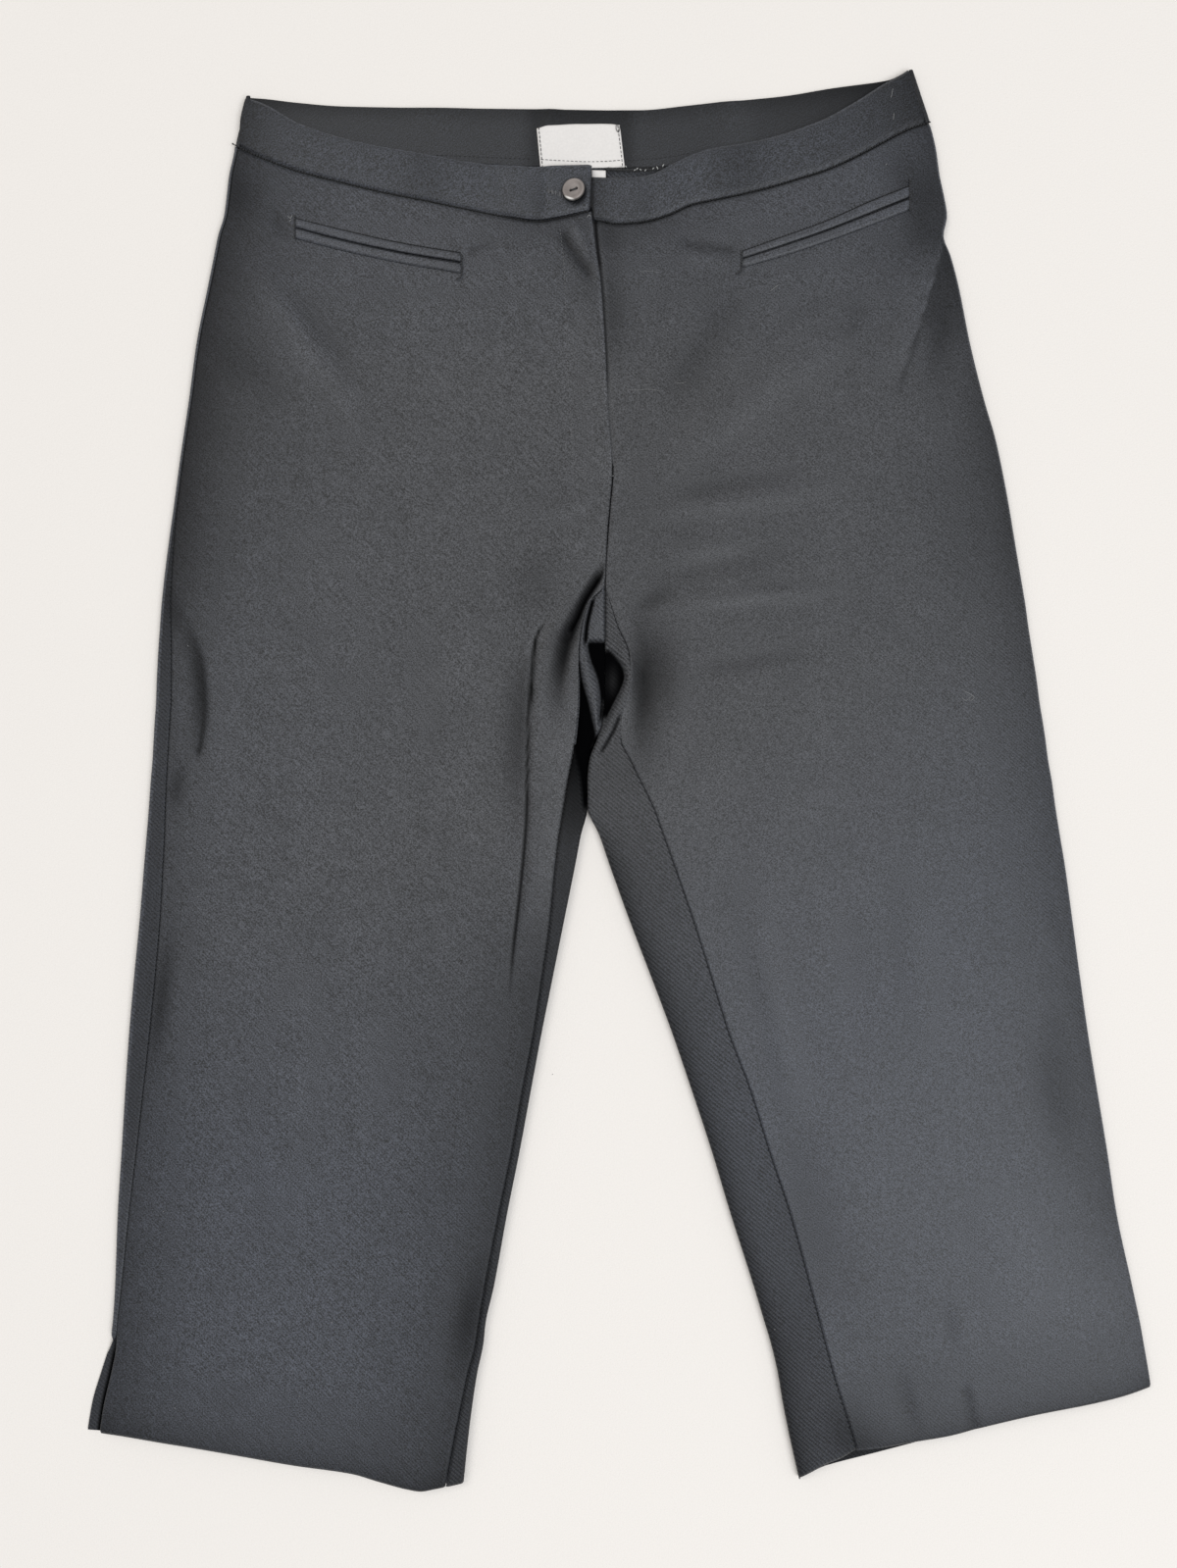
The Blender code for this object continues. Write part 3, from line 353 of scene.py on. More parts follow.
SPECKS = (163.8, 375.6, 169, 226.8, -262.2, 81.6, -255.6, -71.4, -226.8, -101.4, -196.2, -9.6, -195,
          -61.2, -228.6, -157.2, -276.6, -262.8, -269.4, -382.2, -193.8, -375, -174, -330, -266.4,
          -337.8, 199.8, -217.2, 204, -322.8, 192, -361.8, 95.4, -334.8, -96, 110, -40, -180, 122,
          160)


def ease(t):
    """Ease from 0 to 1."""
    t = np.clip(t, 0.0, 1.0)
    return t * t * (3.0 - 2.0 * t)


def ramp(value, start, end):
    """Ease from 0 where a value is at its start to 1 where it is at its end."""
    return ease((value - start) / (end - start))


def mix(a, b, t):
    return a + (b - a) * t


def reader(rows, column):
    """Smooth reading, without overshoot, of one column of a table by its first."""
    table = np.array(sorted(rows), float)
    keys, values = table[:, 0], table[:, column]
    step = np.diff(keys)
    slope = np.diff(values) / step
    tangent = np.zeros_like(values)
    product = slope[:-1] * slope[1:]
    total = slope[:-1] + slope[1:]
    same_way = product > 0.0
    tangent[1:-1][same_way] = 2.0 * product[same_way] / total[same_way]
    tangent[0], tangent[-1] = slope[0], slope[-1]

    def read(key):
        key = np.clip(key, keys[0], keys[-1])
        at = np.clip(np.searchsorted(keys, key, side="right") - 1, 0, len(step) - 1)
        t = (key - keys[at]) / step[at]
        bend = t * (1.0 - t) ** 2 * tangent[at] - t * t * (1.0 - t) * tangent[at + 1]
        return mix(values[at], values[at + 1], t * t * (3.0 - 2.0 * t)) + step[at] * bend

    return read


(right_outer, right_strip, right_front, right_inner,
 left_inner, left_front, left_outer) = [reader(SECTIONS, k) for k in range(1, 8)]
hem_right, hem_right_under = reader(HEM_RIGHT, 1), reader(HEM_RIGHT, 2)
hem_left, hem_left_under = reader(HEM_LEFT, 1), reader(HEM_LEFT, 2)
band_right_seam, band_right_top = reader(BAND_RIGHT, 1), reader(BAND_RIGHT, 2)
band_left_seam, band_left_top = reader(BAND_LEFT, 1), reader(BAND_LEFT, 2)
band_back_seam, band_back_top = reader(BAND_BACK, 1), reader(BAND_BACK, 2)
right_band_end = reader(RIGHT_BAND_END, 1)


def level(x):
    return LEVEL_ROW + 0.0 * x


def rounded(points, closed=False, steps=5):
    """Closely spaced points of a smooth path through x, y, x, y and so on."""
    points = np.reshape(points, (-1, 2)).astype(float)
    if closed:
        ends = np.vstack([points[-1:], points, points[:2]])
        spans = len(points)
    else:
        ends = np.vstack([2 * points[0] - points[1], points, 2 * points[-1] - points[-2]])
        spans = len(points) - 1
    t = np.linspace(0.0, 1.0, steps, endpoint=False)[:, None]
    parts = []
    for k in range(spans):
        a, b, c, d = ends[k:k + 4]
        parts.append(0.5 * (2 * b + (c - a) * t + (2 * a - 5 * b + 4 * c - d) * t ** 2
                            + (3 * b - a - 3 * c + d) * t ** 3))
    if not closed:
        parts.append(points[-1:])
    return np.vstack(parts)


def path_field(path, x, y):
    """Distance to a path, positive on its left, and share of the way along it."""
    best = np.full(x.shape, np.inf)
    side = np.ones(x.shape)
    along = np.zeros(x.shape)
    count = len(path) - 1
    for k in range(count):
        (x0, y0), (x1, y1) = path[k], path[k + 1]
        dx, dy = x1 - x0, y1 - y0
        t = np.clip(((x - x0) * dx + (y - y0) * dy) / (dx * dx + dy * dy), 0.0, 1.0)
        ex, ey = x - x0 - t * dx, y - y0 - t * dy
        gap = ex * ex + ey * ey
        nearer = gap < best
        best = np.where(nearer, gap, best)
        side = np.where(nearer, np.where(dx * ey - dy * ex < 0.0, -1.0, 1.0), side)
        along = np.where(nearer, (k + t) / count, along)
    return side * np.sqrt(best), along


def folded(folds, x, y, fade=0.2):
    """Height and shade that a table of folds adds at each point."""
    height = np.zeros(x.shape)
    shade = np.zeros(x.shape)
    light = np.zeros(x.shape)
    for left, right, amount, dark, *points in folds:
        path = rounded(points)
        reach = 3.0 * max(left, right)
        low, high = path.min(axis=0) - reach, path.max(axis=0) + reach
        near = (x > low[0]) & (x < high[0]) & (y > low[1]) & (y < high[1])
        if not near.any():
            continue
        gap, along = path_field(path, x[near], y[near])
        gap = gap / np.where(gap > 0.0, left, right)
        ends = 0.48 if min(left, right) > 3.2 else fade
        profile = ease(along / ends) * ease((1.0 - along) / ends) * np.exp(-gap * gap)
        height[near] += amount * profile
        shade[near] = np.maximum(shade[near], dark * profile)
        light[near] = np.minimum(light[near], dark * profile)
    return height, shade + light


def depth_inside(outline, x, y):
    """Distance inside a closed outline, negative outside it."""
    path = rounded(outline, closed=True)
    gap, _ = path_field(np.vstack([path, path[:1]]), x, y)
    odd = np.zeros(x.shape, bool)
    for (x0, y0), (x1, y1) in zip(path, np.roll(path, -1, axis=0)):
        if y0 != y1:
            odd ^= ((y0 > y) != (y1 > y)) & (x < (x1 - x0) * (y - y0) / (y1 - y0) + x0)
    return np.where(odd, np.abs(gap), -np.abs(gap))


def base_height(x, y, right):
    """Height of the top cloth without folds, and distance from the outer edge."""
    if right:
        outer, inner = x - right_outer(y), right_inner(y) - x
    else:
        outer, inner = left_outer(y) - x, x - left_inner(y)
    inner = inner + 60.0 * (1.0 - ramp(y, 140, 80))
    other = (0.8 if right else 1.3) * inner + 14.0
    least = 0.5 * (outer + other - np.sqrt((outer - other) ** 2 + 25.0))
    rise = 1.0 - (1.0 - np.clip(least / RISE_WIDTH, 0.0, 1.0)) ** 2.2
    rise = rise * (1.0 - 0.7 * ramp(y, 270, 360))
    return EDGE_HEIGHT + LAYER_RISE * rise, outer


def top_cloth(x, y, right):
    """Height and shade of the top cloth, folds included."""
    height, outer = base_height(x, y, right)
    fold, shade = folded(FOLDS_RIGHT if right else FOLDS_LEFT, x, y)
    seam = np.abs(x - (right_front(y) if right else left_front(y)))
    fold = fold * mix(1.0, ease(seam / 5.0), ramp(y, 134, 144))
    return height + ease(outer / 14.0) * fold, shade


def bell(distance, width):
    """1 at no distance, falling away on both sides."""
    return np.exp(-(distance / width) ** 2)


def edge_shade(distance, amount, width):
    """Painted shade where cloth rounds off to an edge."""
    return amount * np.exp(-np.maximum(distance, 0.0) / width)


def darker(shade, *layers):
    """Shade with further shades laid over it, one after the other."""
    for layer in layers:
        shade = 1.0 - (1.0 - shade) * (1.0 - layer)
    return shade


def crotch_cloth(x, y, right):
    """Height and shade of the back panels' turned edges and the hollows between them."""
    height, shade = top_cloth(x, y, right)
    fold, dark = folded(FOLDS_CROTCH, x, y, fade=0.14)
    height = height + fold
    shade = np.maximum(shade, dark)
    near = (x > -32.0) & (x < 12.0) & (y > -24.0) & (y < 92.0)
    # The two hollows are painted black as shade, a little less in one spot of the larger one.
    for outline, rim in ((EYE, 3.4), (WEDGE, 2.6)):
        depth = depth_inside(outline, x[near], y[near])
        share = 1.0 - np.clip(-depth / rim, 0.0, 1.0)
        height[near] = mix(HOLLOW_FLOOR, height[near], np.sqrt(1.0 - share * share))
        glow = 0.26 * np.exp(-((x[near] + 3.0) / 3.0) ** 2 - ((y[near] - 60.0) / 8.0) ** 2)
        shade[near] = np.maximum(shade[near], ramp(depth, -0.9, 0.4) - glow)
    return np.maximum(height, HOLLOW_FLOOR), shade


def fly_lift(x, y):
    """The right front rises over the zip towards the fly edge."""
    away = right_front(y) - x
    return FLY_LIFT * ease(1.0 - away / FLY_WIDTH) * ramp(y, 178, 192)


def rim_fade(y):
    """The inner leg seam of the left leg can't be seen along the rim."""
    return ramp(y, 74, 64) * ramp(y, 22, 28)


def groove(distance, depth, width):
    """How far cloth dips at a seam or a folded edge."""
    return depth * bell(distance, width)


def shares(*groups):
    """Shares from 0 to 1 in groups of even steps, each given by its end and count."""
    made, start = [np.zeros(1)], 0.0
    for end, count in groups:
        made.append(np.linspace(start, end, count + 1)[1:])
        start = end
    return np.concatenate(made)


SETTLE_ROUNDS = 14
TURN_POINTS = 9
FLAT_POINTS = 26
FLAT_START = 0.004    # share of the first step of an underside, beside its turned edge
LOWER_ROWS = shares((0.012, 7), (0.732, 92), (1.0, 124))[:, None]
UPPER_ROWS = shares((0.97, 72), (1.0, 9))[1:, None]


def settle(x_at, share, low, high, columns):
    """Points of a grid whose columns are x_at(y), `share` of the way up each."""
    y = np.zeros((len(share), columns))
    for _ in range(SETTLE_ROUNDS):
        x = x_at(y)
        y = mix(low(x), high(x), share)
    return x_at(y), y


def settle_panel(x_at, hem, band_seam, columns):
    """Points of a whole panel, whose rows lie level at the top of the crotch."""
    x_low, y_low = settle(x_at, LOWER_ROWS, hem, level, columns)
    x_high, y_high = settle(x_at, UPPER_ROWS, level,
                            lambda x: band_seam(x) - BAND_SPACE / 2.0, columns)
    return np.vstack([x_low, x_high]), np.vstack([y_low, y_high])


def turned_edge(height, turn):
    """Heights of cloth that turns from an edge down to the floor."""
    return 0.5 * height * (1.0 + np.cos(turn))


def with_hem(z, gap, above, depth=1.5):
    """The turned-up hem and its edge, on the part that lies above the floor."""
    return mix(z, hem_allowance(z, gap), above) - above * groove(gap, depth, 1.3)


def faces_to_keep(y, turned):
    """Where a turned edge, the first columns, stays: below the top of the crotch."""
    keep = np.ones((len(y) - 1, y.shape[1] - 1), bool)
    keep[:, :turned] = y[1:, :turned] < CROTCH_TOP
    return keep


def front_clearance(y):
    return mix(SEAM, FLY_SPACE, ramp(y, 112, 122)) / 2.0


def hem_allowance(height, distance):
    """Turned-up hem inside, which shows as a faint step."""
    return height + 0.22 * ramp(distance, 47, 44.5)


def slit_open(y):
    """1 beside the slit at the hem of a side seam, 0 above it."""
    return ramp(y, SLIT_TOP, SLIT_TOP - SLIT_BLEND)


def front_right_points():
    """Right front, from the side seam to the fly and the inner leg seam."""
    across = shares((0.008, 4), (0.03, 3), (0.15, 24), (0.6, 40), (0.86, 22), (0.905, 7),
                    (0.985, 38), (1.0, 7))

    def x_at(y):
        start = right_outer(y) + right_strip(y) + SEAM / 2.0
        return mix(start, right_front(y) - front_clearance(y), across)

    x, y = settle_panel(x_at, hem_right, band_right_seam, len(across))
    z, shade = top_cloth(x, y, True)
    z = z + fly_lift(x, y)
    # Painted shade towards the outer edge, more at the hip, towards the inner edge on the lower leg, on
    # the upper hip, under the waistband and at the hem; painted light in the middle of the leg and
    # along the fly edge.
    hip = mix(0.36, 0.55, ramp(y, 60, 170))
    outer = x - right_outer(y)
    thigh = ramp(y, 70, 130) * ramp(y, 350, 310)
    leg = ramp(y, -30, -130)
    shade = darker(shade, edge_shade(outer, hip, mix(24.0, 30.0, ease(y / 200.0))),
                   0.15 * thigh * bell(outer, 28.0),
                   leg * edge_shade(right_inner(y) - x, 0.48, 40.0))
    lit = ramp(y, 150, -10) * mix(1.0, 0.6, ramp(y, -60, -260))
    shade = shade - 0.075 * lit * bell(x + 202.0, 66.0)
    shade = shade + 0.035 * ramp(y, 120, 220) * bell(x + 190.0, 60.0)
    shade = darker(shade, shade_below_band(band_right_seam(x) - y, x))
    side = x - right_outer(y) - right_strip(y)
    inner = right_front(y) - x
    rim = ease((CROTCH_TOP - y) / 10.0) * ramp(y, 20, 35)
    closed_seam = 0.6 * ramp(y, 215, 165)
    z -= groove(side, mix(closed_seam, 1.6, slit_open(y)), 0.8)
    z -= groove(inner, mix(0.9, 0.5, rim) * open_stitches(y), mix(0.9, 0.7, rim))
    shade = shade - 0.4 * bell(inner - 1.2, 0.9) * ramp(y, 186, 198)
    z -= groove(band_right_seam(x) - y, 1.3, 1.4)
    gap = y - hem_right(x)
    return x, y, hem_allowance(z, gap) - groove(gap, 1.5, 1.3), darker(shade, hem_shade(gap))


def hem_shade(distance):
    return 0.05 * ramp(distance, 64, 34) + edge_shade(distance, 0.34, 12.0)


def shade_below_band(distance, x):
    """Painted shade under the waistband, most of it beside the fly."""
    return edge_shade(distance, 0.27, 17.0) * bell(x + 10.0, 80.0)


def open_stitches(y):
    """The front seam is shallow where its last stitches show above the crotch."""
    return 1.0 - 0.8 * bell(y - 107.0, 10.0)


def hidden_seam(y):
    """Side seam of the left leg, on the underside."""
    return left_outer(y) - UNDER_TURN


def front_left_points():
    """Left front: top cloth, round the outer edge and a strip underneath."""
    across = shares((0.012, 8), (0.16, 38), (0.36, 28), (0.96, 50), (1.0, 6))
    turn = np.linspace(0.0, math.pi, 10)[1:]
    under = np.linspace(0.0, 1.0, 5)[1:]
    top_count, turn_count = len(across), len(turn)

    def split(grid):
        return np.split(grid, (top_count, top_count + turn_count), axis=1)

    def x_at(y):
        top, side, low = split(y)
        tucked = 5.0 * ramp(top, 192, 198)
        space = mix(front_clearance(top), TOUCH, rim_fade(top))
        start = left_front(top) + space - tucked
        edge = left_outer(low) - FOLD_RADIUS
        return np.hstack([
            mix(start, left_outer(top) - FOLD_RADIUS, across),
            left_outer(side) - FOLD_RADIUS + FOLD_RADIUS * np.sin(turn),
            mix(edge, hidden_seam(low) + SEAM / 2.0, under)])

    columns = top_count + turn_count + len(under)
    upper = np.arange(columns) < top_count + turn_count // 2

    def hem(x):
        return np.where(upper, hem_left(x), hem_left_under(x))

    def band_seam(x):
        return np.where(upper, band_left_seam(x), band_back_seam(x))

    x, y = settle_panel(x_at, hem, band_seam, columns)
    top_x, side_x, low_x = split(x)
    top_y = split(y)[0]
    z, shade = top_cloth(top_x, top_y, False)
    # Painted shade towards the outer edge, under the waistband, near the hem and on the seat.
    hip = mix(0.28, 0.4, ramp(top_y, 30, 180)) - 0.1 * bell(top_y - 252.0, 28.0)
    hip = hip * mix(0.4, 1.0, ramp(top_y, -330, -250))
    width = mix(31.0, 22.0, ramp(top_y, 170, 250))
    shade = darker(shade, edge_shade(left_outer(top_y) - top_x, hip, width),
                   shade_below_band(band_left_seam(top_x) - top_y, top_x))
    shade = shade + 0.07 * ramp(top_y, -260, -330) * bell(top_x - 160.0, 70.0)
    shade = shade + 0.06 * np.exp(-((top_x - 35.0) / 45.0) ** 2 - ((top_y - 190.0) / 130.0) ** 2)
    inner = top_x - left_front(top_y)
    tucked = ramp(top_y, 190, 196)
    line = groove(inner, 0.75, 0.8) * (1.0 - rim_fade(top_y)) * open_stitches(top_y)
    z -= mix(line, 0.5 * ease(1.0 - inner / 4.0), tucked)
    edge = z[:, -1:]
    side_z = turned_edge(edge, turn)
    z = np.hstack([z, side_z, 0.0 * low_x])
    shade = np.hstack([shade, 0.0 * side_x, 0.0 * low_x])
    hem_gap = y - hem(x)
    shade = darker(shade, hem_shade(hem_gap))
    above = z / np.maximum(edge, 0.1)
    z -= above * groove(band_seam(x) - BAND_SPACE / 2.0 - y, 1.3, 1.4)
    lifted = bell(x - 152.0, 16.0)
    # painted highlight along the lifted edge of the hem
    shade = shade - 0.3 * lifted * bell(hem_gap - 0.9, 0.9) * (x < left_outer(y) - 30.0)
    return x, y, with_hem(z, hem_gap, above, mix(1.5, 0.2, lifted)), shade


def back_left_points():
    """Left back: flat from the hidden side seam, turned up at the inner leg."""
    strip = shares((0.03, 4), (0.9, 30), (1.0, 5))
    turn = np.linspace(0.0, math.pi, TURN_POINTS)[1:]
    flat = np.concatenate([[FLAT_START], np.linspace(0.0, 1.0, FLAT_POINTS)[1:]])
    top_count, turn_count = len(strip), len(turn)
    first_flat = top_count + turn_count

    def x_at(y):
        top, side, low = np.split(y, (top_count, first_flat), axis=1)
        fold = left_inner(top) + TOUCH
        space = mix(SEAM / 2.0, TOUCH, rim_fade(top))
        seam = np.maximum(left_front(top) - space, fold + FOLD_RADIUS)
        centre = left_inner(side) + TOUCH + FOLD_RADIUS
        start = left_inner(low) - UNDER_REACH + (FOLD_RADIUS + UNDER_REACH) * ramp(low, 122, 119)
        end = hidden_seam(low) - SEAM / 2.0
        end = end - SLIT_GAP * slit_open(low)
        return np.hstack([mix(seam, fold + FOLD_RADIUS, strip),
                          centre - FOLD_RADIUS * np.sin(turn), mix(start, end, flat)])

    columns = first_flat + len(flat)
    upper = np.arange(columns) < top_count + 2

    def hem(x):
        return np.where(upper, hem_left(x), hem_left_under(x))

    x, y = settle_panel(x_at, hem, band_back_seam, columns)
    top_x, top_y = x[:, :top_count], y[:, :top_count]
    z, shade = crotch_cloth(top_x, top_y, False)
    seam = left_front(top_y) - top_x
    # Painted shade where the strip rounds off towards the inner leg, and towards the hem.
    rounded_off = edge_shade(top_x - left_inner(top_y), 0.6, 8.0)
    shade = darker(shade, rounded_off * ramp(top_y, -10, -60),
                   0.12 * ramp(top_y, -280, -340), 0.08 * ramp(top_y, -370, -410))
    z -= groove(seam, 0.75, 0.8) * (1.0 - rim_fade(top_y)) * open_stitches(top_y)
    edge = z[:, -1:]
    side_z = turned_edge(edge, turn)
    low_x, low_y = x[:, first_flat:], y[:, first_flat:]
    z = np.hstack([z, side_z, 0.0 * low_x])
    # painted shade on the underside where it shows beside the hem
    underside_shade = 0.6 * ramp(low_y, -392, -400)
    shade = np.hstack([shade, shade[:, -1:] + 0.0 * side_z, underside_shade])
    above = z / np.maximum(edge, 0.1)
    gap = y - hem(x)
    grids = x, y, with_hem(z, gap, above), shade, faces_to_keep(y, first_flat)
    return [grid[:, ::-1] for grid in grids]


def back_right_points():
    """Right back: flat, turned up at the inner leg and at the side seam."""
    strip = shares((0.05, 3), (0.9, 24), (1.0, 4))
    turn = np.linspace(0.0, math.pi, TURN_POINTS)[1:]
    flat = np.concatenate([[FLAT_START], np.linspace(0.0, 1.0, FLAT_POINTS)[1:-1]])
    outer_turn = np.linspace(math.pi, 0.0, TURN_POINTS)
    outer_strip = shares((0.7, 5), (1.0, 5))[1:]
    cuts = np.cumsum([len(strip), len(turn), len(flat), len(outer_turn)])
    first_flat, first_side = cuts[1:3]
    columns = cuts[-1] + len(outer_strip)

    def closed(y):
        return 1.0 - slit_open(y)

    def x_at(y):
        top, side, low, bend, over = np.split(y, cuts, axis=1)
        fold = right_inner(top) - TOUCH
        seam = np.minimum(right_front(top) + SEAM / 2.0, fold - FOLD_RADIUS)
        centre = right_inner(side) - TOUCH - FOLD_RADIUS
        start = right_inner(low) + UNDER_REACH - (FOLD_RADIUS + UNDER_REACH) * ramp(low, 122, 119)
        end = right_outer(low) + FOLD_RADIUS + SLIT_INSET * (1.0 - closed(low))
        middle = right_outer(bend) + FOLD_RADIUS
        turned = middle - FOLD_RADIUS * np.sin(outer_turn)
        bend_share = np.linspace(0.0, 0.6, len(outer_turn))
        over_share = np.linspace(0.6, 1.0, len(outer_strip) + 1)[1:]
        laid = mix(middle + SLIT_INSET, right_outer(bend), bend_share)
        on_top = mix(right_outer(over) + FOLD_RADIUS,
                     right_outer(over) + right_strip(over) - SEAM / 2.0, outer_strip)
        laid_over = mix(right_outer(over) + FOLD_RADIUS + SLIT_INSET, right_outer(over),
                        over_share)
        return np.hstack([
            mix(seam, fold - FOLD_RADIUS, strip),
            centre + FOLD_RADIUS * np.sin(turn),
            mix(start, end, flat),
            mix(laid, turned, closed(bend)),
            mix(laid_over, on_top, closed(over))])

    x, y = settle_panel(x_at, hem_right_under, band_back_seam, columns)
    top_x, _, low_x, _, over_x = np.split(x, cuts, axis=1)
    top_y, _, _, bend_y, over_y = np.split(y, cuts, axis=1)
    z, shade = crotch_cloth(top_x, top_y, True)
    seam = top_x - right_front(top_y)
    z -= groove(seam, 0.9, 1.0)
    # Painted shade on the inner strip between the legs, below the crotch and further down.
    between = 0.93 * ramp(top_y, -52, 14) * ramp(top_y, 44, 36)
    shade = darker(shade, between * ramp(top_x, -15, -18.5),
                   0.45 * ramp(top_y, 14, -26))
    edge = z[:, -1:]
    side_z = turned_edge(edge, turn)
    over_z, over_shade = top_cloth(over_x, over_y, True)
    over_seam = right_outer(over_y) + right_strip(over_y) - over_x
    over_z -= groove(over_seam, 0.6, 0.8) * ramp(over_y, 215, 165)
    # painted shade on the outer strip, more towards the waist
    upper = mix(0.28, 0.62, ramp(over_y, 10, 210))
    over_shade = darker(over_shade, upper * mix(0.5, 1.0, ramp(over_y, -280, -200)))
    rim = over_z[:, :1]
    bend_z = turned_edge(rim, outer_turn)
    z = np.hstack([z, side_z, 0.0 * low_x, bend_z * closed(bend_y),
                   over_z * closed(over_y)])
    shade = np.hstack([shade, shade[:, -1:] + 0.0 * side_z, 0.0 * low_x,
                       0.0 * bend_z, over_shade])
    # painted shade on the under layer in the slit, deepest beside the front's edge
    under = mix(0.36, 1.0, ease((x - right_outer(y) - right_strip(y) + 3.6) / 2.6))
    shade = np.maximum(shade, slit_open(y) * under * (np.arange(columns) >= first_side - 2))
    above = np.clip(z / EDGE_HEIGHT, 0.0, 1.0)
    gap = y - hem_right_under(x)
    return x, y, with_hem(z, gap, above), shade, faces_to_keep(y, first_flat)


def band_height(x, y, right):
    height, _ = base_height(x, y, right)
    fold, _ = folded(FOLDS_RIGHT if right else FOLDS_LEFT, x, y)
    return height + 0.5 * fold + BAND_STEP


def overlap_lift(x):
    """The buttonhole end lies on the underlap of the left waistband."""
    return (BAND_WALL + SEAM) * ramp(x, -82, -56)


BAND_ROWS = shares((0.06, 4), (0.92, 14), (0.97, 3), (1.0, 4))[:, None]


def band_relief(share, z):
    """Crown across a waistband, its turned top edge and its lower seam."""
    z = z + 0.35 * np.sin(math.pi * share) - groove(share * BAND_WIDTH, 1.3, 1.2)
    return z - groove((1.0 - share) * BAND_WIDTH, 1.1, 1.2)


def front_band_right_points():
    across = shares((0.01, 3), (0.6, 60), (0.97, 55), (1.0, 8))

    def x_at(y):
        start = right_outer(y) + BAND_STRIP + SEAM / 2.0
        return mix(start, right_band_end(y), across)

    x, y = settle(x_at, BAND_ROWS, lambda x: band_right_seam(x) + BAND_SPACE / 2.0,
                  band_right_top, len(across))
    z = band_height(x, band_right_seam(x), True) + overlap_lift(x)
    z = band_relief(BAND_ROWS, z) - groove(right_band_end(y) - x, 1.2, 1.0)
    z -= groove(x - right_outer(y) - BAND_STRIP, 0.3, 0.8)
    waves = bell(x + 44.0, 2.2) + 0.7 * bell(x + 71.0, 4.0)
    # Painted shade towards the outer end and in two patches, a painted shadow of the button as a dark
    # disc under it, and painted highlights along the top edge and the buttonhole end.
    under_button = np.hypot(x - BUTTON_CENTRE[0] - 0.5, y - BUTTON_CENTRE[1] - 0.2)
    shade = darker(edge_shade(x - right_outer(y), 0.55, 20.0),
                   0.16 * bell(x + 48.0, 4.0) * (1.0 - BAND_ROWS), 0.1 * bell(x + 118.0, 14.0),
                   0.85 * np.exp(-(under_button / 7.6) ** 8))
    shade = shade - 0.35 * bell((1.0 - BAND_ROWS) * BAND_WIDTH, 1.1)
    shade = shade - 0.4 * bell(right_band_end(y) - x - 1.0, 0.8) * (1.0 - BAND_ROWS)
    return x, y, z - 0.5 * waves * np.sin(math.pi * BAND_ROWS), shade


def front_band_left_points():
    across = shares((0.02, 8), (0.5, 50), (0.99, 60), (1.0, 3))
    hidden = np.linspace(BAND_START - UNDERLAP, BAND_START - 0.5, UNDERLAP_COLUMNS)
    columns = UNDERLAP_COLUMNS + len(across)
    under = np.arange(columns) < UNDERLAP_COLUMNS

    def x_at(y):
        end = left_outer(y[:, UNDERLAP_COLUMNS:]) - BAND_STRIP - SEAM / 2.0
        return np.hstack([hidden + 0.0 * y[:, :UNDERLAP_COLUMNS], mix(BAND_START, end, across)])

    def seam(x):
        return band_left_seam(x) + np.where(under, UNDERLAP_STEP, BAND_SPACE / 2.0)

    x, y = settle(x_at, BAND_ROWS, seam, band_left_top, columns)
    z = band_height(np.maximum(x, -7.0), band_left_seam(x), False)
    z = band_relief(BAND_ROWS, z)
    z -= groove(left_outer(y) - BAND_STRIP - x, 0.3, 0.8)
    waves = bell(x - 22.0, 3.0) + 0.6 * bell(x - 140.0, 8.0)
    z -= 0.3 * waves * np.sin(math.pi * BAND_ROWS)
    # Painted shade under the buttonhole end, towards both ends and in two patches; painted highlights
    # on the crown and along the top edge.
    shade = darker(0.5 * bell(x - BAND_START + 0.8, 1.6),
                   edge_shade(left_outer(y) - x, 0.5, 34.0), edge_shade(x - BAND_START, 0.3, 7.0),
                   0.14 * bell(x - 16.0, 5.0) * (1.0 - BAND_ROWS), 0.14 * bell(x - 74.0, 16.0))
    shade = shade - 0.12 * bell(x - 40.0, 12.0) * np.sin(math.pi * BAND_ROWS)
    shade = shade - 0.3 * bell((1.0 - BAND_ROWS) * BAND_WIDTH, 1.1) * ramp(x, 4, 34)
    return x, y, z, shade


